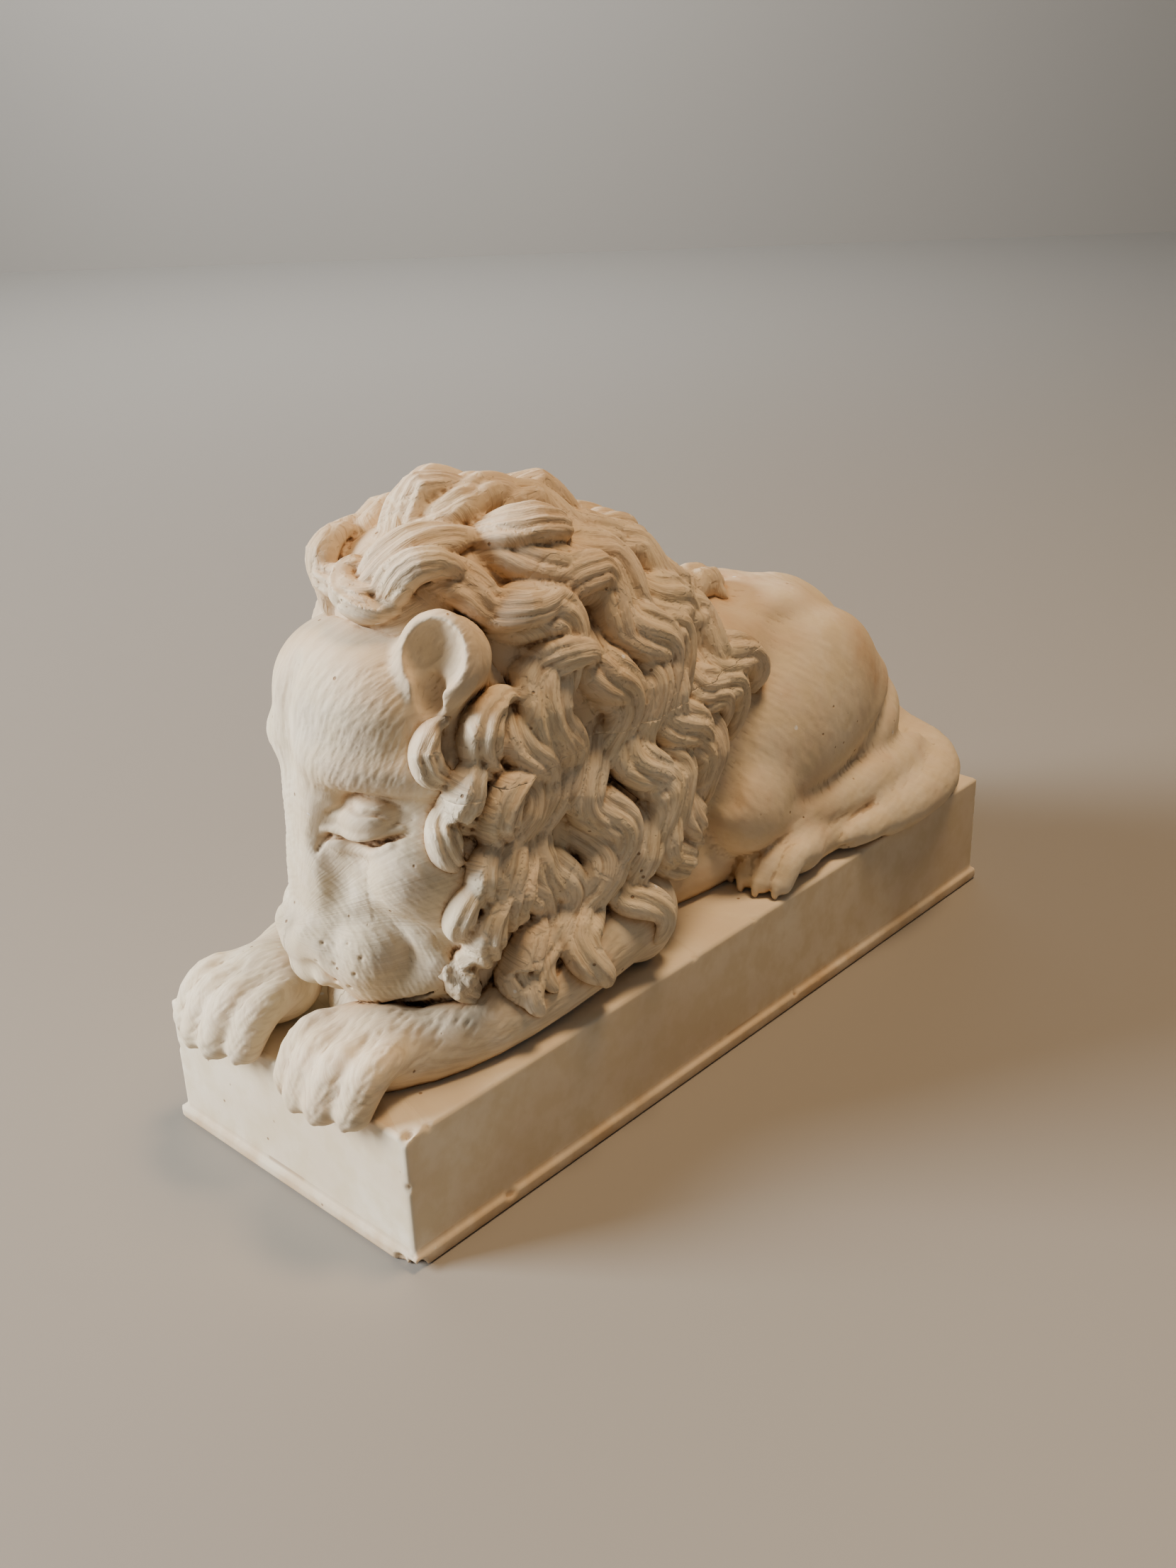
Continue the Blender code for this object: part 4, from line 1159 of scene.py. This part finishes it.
def strandMap(piece):
    # Lays each lock's own length and width on the points nearest to it
    tree = KDTree(sum(len(each["path"]) for each in locks))
    spots = []
    for count, each in enumerate(locks):
        path, normals = each["path"], each["normals"]
        ahead = unit(np.gradient(path, axis=0))
        beside = unit(np.cross(normals, ahead))
        far = np.concatenate([[0], np.cumsum(np.linalg.norm(np.diff(path, axis=0), axis=1))])
        for k in range(len(path)):
            tree.insert(path[k] + normals[k] * strokeWork["lift"], len(spots))
            spots.append((*path[k], *ahead[k], *beside[k], far[k], count))
    tree.balance()
    points = readPoints(piece)
    spot = np.array(spots)[[tree.find(point)[1] for point in points.tolist()]]
    offset, which = points - spot[:, :3], spot[:, 10]
    along = spot[:, 9] + (offset * spot[:, 3:6]).sum(1)
    across = (offset * spot[:, 6:9]).sum(1)
    edges = readAll(piece.data.edges, "vertices", 2, int)
    jump = np.abs(np.diff(along[edges], axis=1)[:, 0]) > strokeWork["jump"]
    jump |= which[edges[:, 0]] != which[edges[:, 1]]
    strength = np.ones(len(points))
    strength[edges[jump].ravel()] = 0
    strength = np.minimum(strength, spreadOut(strength, edges, 2)[:, 0])
    apart = which * strokeWork["alongApart"], which * strokeWork["acrossApart"]
    return np.stack([along + apart[0], across + apart[1], strength], 1)


def polarMap(piece, centre, strength):
    # Hair that grows away from one spot, such as the fur of the face away from the nose
    local = (readPoints(piece) - centre) @ headSpin
    angle = np.arctan2(local[:, 0], local[:, 2])
    radius = np.hypot(local[:, 0], local[:, 2])
    return np.stack([radius, angle * 38, np.full(len(local), strength)], 1)


def straightMap(piece, ahead, beside, strength):
    points = readPoints(piece)
    return np.stack([points @ ahead, points @ beside, np.full(len(points), strength)], 1)


named = {piece.name: piece for piece in pieces}
hairMaps = {name: strandMap(named[name]) for name in mane["parts"]}
hairMaps["lion_head"] = polarMap(named["lion_head"], bowed((0, -125, 40)), 0.55)
straightHair = {
    "lion_body": (unit(np.array((0, 0.8, -0.6))), unit(np.array((0, 0.6, 0.8))), 0.12),
    "lion_forelegs": (np.array((0.1, 1, 0.1)), np.array((0.7, -0.1, 0.7)), 0.6),
}
for name, values in straightHair.items():
    hairMaps[name] = straightMap(named[name], *values)
for name, values in hairMaps.items():
    keepAttribute(named[name], "hair", values)
stage("hair maps")


# Node helpers
def nodeOf(tree, kind, links=None, **values):
    node = tree.nodes.new(kind)
    for key, value in values.items():
        setattr(node, key, value)
    for key, value in (links or {}).items():
        if isinstance(value, bpy.types.NodeSocket):
            tree.links.new(value, node.inputs[key])
        else:
            node.inputs[key].default_value = value
    return node


def noise(tree, place, scale, detail, roughness):
    values = {"Vector": place, "Scale": scale, "Detail": detail, "Roughness": roughness}
    return nodeOf(tree, "ShaderNodeTexNoise", values).outputs["Fac"]


# Colours, noises (scale, detail, roughness), what patina, painted shade with dirt, and relief are
# summed from, the two ends of each effect's soft step, and how much of some effects shows
plaster = {
    "cream": (0.73, 0.618, 0.425, 1),
    "pale": (0.87, 0.785, 0.61, 1),
    "tan": (0.52, 0.335, 0.175, 1),
    "umber": (0.215, 0.115, 0.052, 1),
    # near black for the deepest painted shade, with some dirt
    "sootAndShade": (0.045, 0.024, 0.012, 1),
    "chip": (0.86, 0.84, 0.79, 1),
    "noises": ((24, 3, 0.55), (95, 4, 0.55), (520, 5, 0.6)),
    "strokes": (1.0, 3, 0.6),
    "strokeScale": (0.09, 0.85),
    "poreScale": 190.0,
    "footNoise": 0.012,
    "patinaFrom": (0.75, 0.35, 0.45, 0.16, 0.02),
    "shadeAndDirtFrom": (1.0, 0.30, -0.07),
    "reliefFrom": (0.7, 0.12, 0.25, -0.4),
    "rough": (0.70, 0.25),
    "mottle": (0.35, 0.7),
    "high": (0.09, 0.2),
    "patina": (0.40, 0.88),
    "dustAndShade": (0.28, 0.56),
    "shadeAndDirt": (0.43, 0.66),
    "deepShadeAndDirt": (0.54, 0.74),
    "creaseShadeStep": (0.5, 2.2),
    "rubbed": (0.6, 2.6),
    "stroke": (0.56, 0.34),
    "foot": (0.021, 0.009),
    "pore": (0.13, 0.06),
    "poreKept": (0.8, 0.84),
    "chipEdge": (0.2, 0.12),
    "chipKept": (0.93, 0.95),
    "chipProud": (0.2, 0.8),
    "dustAndShadeShare": 0.7,
    "creaseShadeShare": 0.6,
    "rubbedShare": 0.42,
    "strokeShare": 0.34,
    "poreShare": 0.8,
}


def agedPlasterGroup():
    # Cream plaster with a tan patina, painted shade and dirt in the hollows and paler rubbed ridges
    group = bpy.data.node_groups.new("aged plaster", "ShaderNodeTree")
    for name in ("Patina", "ShadeAndDirt", "Hair", "FootTan"):
        group.interface.new_socket(name, in_out="INPUT", socket_type="NodeSocketFloat")
    for name, kind in (("Color", "Color"), ("Roughness", "Float"), ("Height", "Float")):
        group.interface.new_socket(name, in_out="OUTPUT", socket_type="NodeSocket" + kind)

    def mathOf(operation, a, b):
        return nodeOf(group, "ShaderNodeMath", {0: a, 1: b}, operation=operation).outputs[0]

    def times(a, b):
        return mathOf("MULTIPLY", a, b)

    def plus(a, b):
        return mathOf("ADD", a, b)

    def less(a, b):
        return mathOf("SUBTRACT", a, b)

    def summed(name, *causes):
        # the causes added up, each by its own share
        total = 0.0
        for cause, share in zip(causes, plaster[name]):
            total = plus(total, times(cause, share))
        return total

    def step(value, name):
        # a soft step from 0 to 1 between the two values kept under a name
        low, high = plaster[name]
        values = {"Value": value, "From Min": low, "From Max": high}
        node = nodeOf(group, "ShaderNodeMapRange", values, interpolation_type="SMOOTHSTEP")
        return node.outputs["Result"]

    def coat(below, share, name):
        values = {0: share, 6: below, 7: plaster[name]}
        return nodeOf(group, "ShaderNodeMix", values, data_type="RGBA").outputs[2]

    def attribute(name, kind="Fac"):
        return nodeOf(group, "ShaderNodeAttribute", attribute_name=name).outputs[kind]

    given = group.nodes.new("NodeGroupInput").outputs
    place = group.nodes.new("ShaderNodeTexCoord").outputs["Object"]
    shadeAndDirt, ridge, swell = attribute("shadeAndDirt"), attribute("ridge"), attribute("swell")
    hair = attribute("hair", "Vector")
    alongHair, acrossHair, hairShare = nodeOf(group, "ShaderNodeSeparateXYZ", {0: hair}).outputs
    height = nodeOf(group, "ShaderNodeSeparateXYZ", {0: place}).outputs[2]
    broad, middle, fine = [noise(group, place, *values) for values in plaster["noises"]]
    # strokes of the modelling tool along the hair
    strokeLong, strokeWide = plaster["strokeScale"]
    strokePlace = {0: times(alongHair, strokeLong), 1: times(acrossHair, strokeWide)}
    strokePlace = nodeOf(group, "ShaderNodeCombineXYZ", strokePlace).outputs[0]
    strokes = noise(group, strokePlace, *plaster["strokes"])
    strength = times(hairShare, given["Hair"])
    # patina, more of it on the higher parts
    patches = summed("patinaFrom", broad, middle, shadeAndDirt, step(height, "high"), swell)
    color = coat(plaster["cream"], step(middle, "mottle"), "pale")
    color = coat(color, times(step(patches, "patina"), given["Patina"]), "tan")
    # painted shade with dust and dirt: tan, umber and near black where the points are most closed in
    shadeAndGrime = summed("shadeAndDirtFrom", shadeAndDirt, less(fine, 0.5), ridge)
    color = coat(color, times(step(shadeAndGrime, "dustAndShade"), plaster["dustAndShadeShare"]), "tan")
    color = coat(color, times(step(shadeAndGrime, "shadeAndDirt"), given["ShadeAndDirt"]), "umber")
    color = coat(color, times(step(shadeAndGrime, "deepShadeAndDirt"), given["ShadeAndDirt"]), "sootAndShade")
    # painted shade, with some dirt, in the concave creases
    creaseShadeAndDirt = times(step(times(ridge, -1.0), "creaseShadeStep"), plaster["creaseShadeShare"])
    color = coat(color, times(creaseShadeAndDirt, given["ShadeAndDirt"]), "umber")
    color = coat(color, times(step(ridge, "rubbed"), plaster["rubbedShare"]), "pale")
    streak = times(step(strokes, "stroke"), strength)
    color = coat(color, times(streak, plaster["strokeShare"]), "umber")
    # tan, darker towards the foot of the plinth, pores and a few fresh chips
    foot = plus(height, times(plus(middle, broad), plaster["footNoise"]))
    color = coat(color, times(step(foot, "foot"), given["FootTan"]), "tan")
    poreCells = {"Vector": place, "Scale": plaster["poreScale"]}
    pores = nodeOf(group, "ShaderNodeTexVoronoi", poreCells).outputs
    some = nodeOf(group, "ShaderNodeSeparateColor", {0: pores["Color"]}).outputs
    pore = times(step(pores["Distance"], "pore"), step(some[0], "poreKept"))
    color = coat(color, times(pore, plaster["poreShare"]), "umber")
    chip = times(step(pores["Distance"], "chipEdge"), step(some[1], "chipKept"))
    color = coat(color, times(chip, step(ridge, "chipProud")), "chip")
    evenly, spread = plaster["rough"]
    rough = plus(evenly, times(less(middle, 0.5), spread))
    relief = summed("reliefFrom", times(strokes, strength), fine, middle, pore)
    nodeOf(group, "NodeGroupOutput", {"Color": color, "Roughness": rough, "Height": relief})
    return group


agedPlaster = agedPlasterGroup()
# Each piece's material: patina, painted shade with dirt, hair strokes, tan at the foot, and the relief's
# depth
finishes = {
    "lion_body": ("plaster body", 1.0, 0.7, 1.0, 0.0, 0.0005),
    "lion_forelegs": ("plaster forelegs", 0.75, 1.0, 1.0, 0.0, 0.0006),
    "lion_head": ("plaster face", 0.5, 1.0, 0.8, 0.0, 0.0006),
    "mane_crown": ("plaster crown", 0.6, 1.0, 1.0, 0.0, 0.0008),
    "mane_left": ("plaster mane left", 0.5, 1.0, 1.0, 0.0, 0.0008),
    "mane_right": ("plaster mane right", 0.5, 1.0, 1.0, 0.0, 0.0008),
    "plinth": ("plaster plinth", 0.5, 1.0, 0.0, 0.8, 0.0003),
}


def plasterMaterial(name, patina, shadeAndDirt, hair, footTan, depth):
    material = bpy.data.materials.new(name)
    material.use_nodes = True
    tree = material.node_tree
    shader = tree.nodes["Principled BSDF"].inputs
    shares = {"Patina": patina, "ShadeAndDirt": shadeAndDirt, "Hair": hair, "FootTan": footTan}
    cast = nodeOf(tree, "ShaderNodeGroup", node_tree=agedPlaster)
    for key, value in shares.items():
        cast.inputs[key].default_value = value
    relief = {"Height": cast.outputs["Height"], "Distance": depth, "Strength": 1.0}
    bump = nodeOf(tree, "ShaderNodeBump", relief)
    tree.links.new(cast.outputs["Color"], shader["Base Color"])
    tree.links.new(cast.outputs["Roughness"], shader["Roughness"])
    tree.links.new(bump.outputs["Normal"], shader["Normal"])
    shader["Specular IOR Level"].default_value = 0.3
    return material


place = Matrix.Translation((0, 0, lion["plinthTop"])) @ Matrix.Scale(lion["partSize"], 4)
for piece in pieces:
    piece.data.transform(place)
    piece.data.materials.clear()
    piece.data.materials.append(plasterMaterial(*finishes[piece.name]))
    piece.data.polygons.foreach_set("use_smooth", [True] * len(piece.data.polygons))
    piece.data.update()
    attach(piece, "root")
    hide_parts("lion_statue")
    piece.data.validate()
    print(piece.name, triangleCount(piece), "triangles")
stage("finished pieces")

# Floor, a plain wall well behind it and square to the camera, and soft light
room = {
    "color": (0.278, 0.259, 0.227, 1),
    "roughness": 0.55,
    "floor": {"size": 60},
    "backdrop": {
        "size": 30,
        "location": (-1.51, 1.6, 0),
        "rotation": (math.radians(90), 0, math.radians(43.4)),
    },
    "air": (0.92, 0.96, 1.0, 1),
    "airStrength": 0.12,
}
paint = bpy.data.materials.new("pale floor")
paint.use_nodes = True
paint.node_tree.nodes["Principled BSDF"].inputs["Base Color"].default_value = room["color"]
paint.node_tree.nodes["Principled BSDF"].inputs["Roughness"].default_value = room["roughness"]
for name in ("floor", "backdrop"):
    bpy.ops.mesh.primitive_plane_add(**room[name])
    plane = bpy.context.active_object
    plane.name = name
    plane.data.materials.append(paint)


def softLight(name, place, size, power, color, aim=(0, 0, 0.08)):
    bpy.ops.object.light_add(type="AREA", location=place)
    light = bpy.context.active_object
    light.name = name
    light.data.size = size
    light.data.energy = power
    light.data.color = color
    light.rotation_euler = (Vector(aim) - Vector(place)).to_track_quat("-Z", "Y").to_euler()


softLight("window", (-0.92, -1.22, 0.78), 0.7, 62, (0.98, 0.985, 1.0))
softLight("warm lamp", (0.2, 0.2, 1.35), 0.35, 16, (1.0, 0.68, 0.39))
softLight("backdrop lamp", (-1.3, 0.7, 1.4), 1.2, 40, (0.92, 0.95, 1.0), (-2.0, 1.4, 0.5))
world = bpy.data.worlds.new("room")
bpy.context.scene.world = world
world.use_nodes = True
world.node_tree.nodes["Background"].inputs["Color"].default_value = room["air"]
world.node_tree.nodes["Background"].inputs["Strength"].default_value = room["airStrength"]

# The camera at the photograph's angle
view = {
    "place": (0.33335227, -0.36687304, 0.30963399),
    "right": (0.73621082, 0.67600662, -0.03175973),
    "down": (0.26332902, -0.32938036, -0.90673392),
    "ahead": (-0.62341916, 0.65918407, -0.42050555),
    "focalPixels": 2264.3,
    "tallPixels": 2212,
    "sensor": 36.0,
    "nearClip": 0.01,
}
bpy.ops.object.camera_add()
camera = bpy.context.active_object
camera.name = "photo camera"
camera.data.sensor_width = view["sensor"]
camera.data.lens = view["focalPixels"] * view["sensor"] / view["tallPixels"]
camera.data.clip_start = view["nearClip"]
axes = (view["right"], [-v for v in view["down"]], [-v for v in view["ahead"]])
turn = Matrix(axes).transposed().to_4x4()
turn.translation = Vector(view["place"])
camera.matrix_world = turn
bpy.context.scene.camera = camera

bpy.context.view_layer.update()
stage("ready")
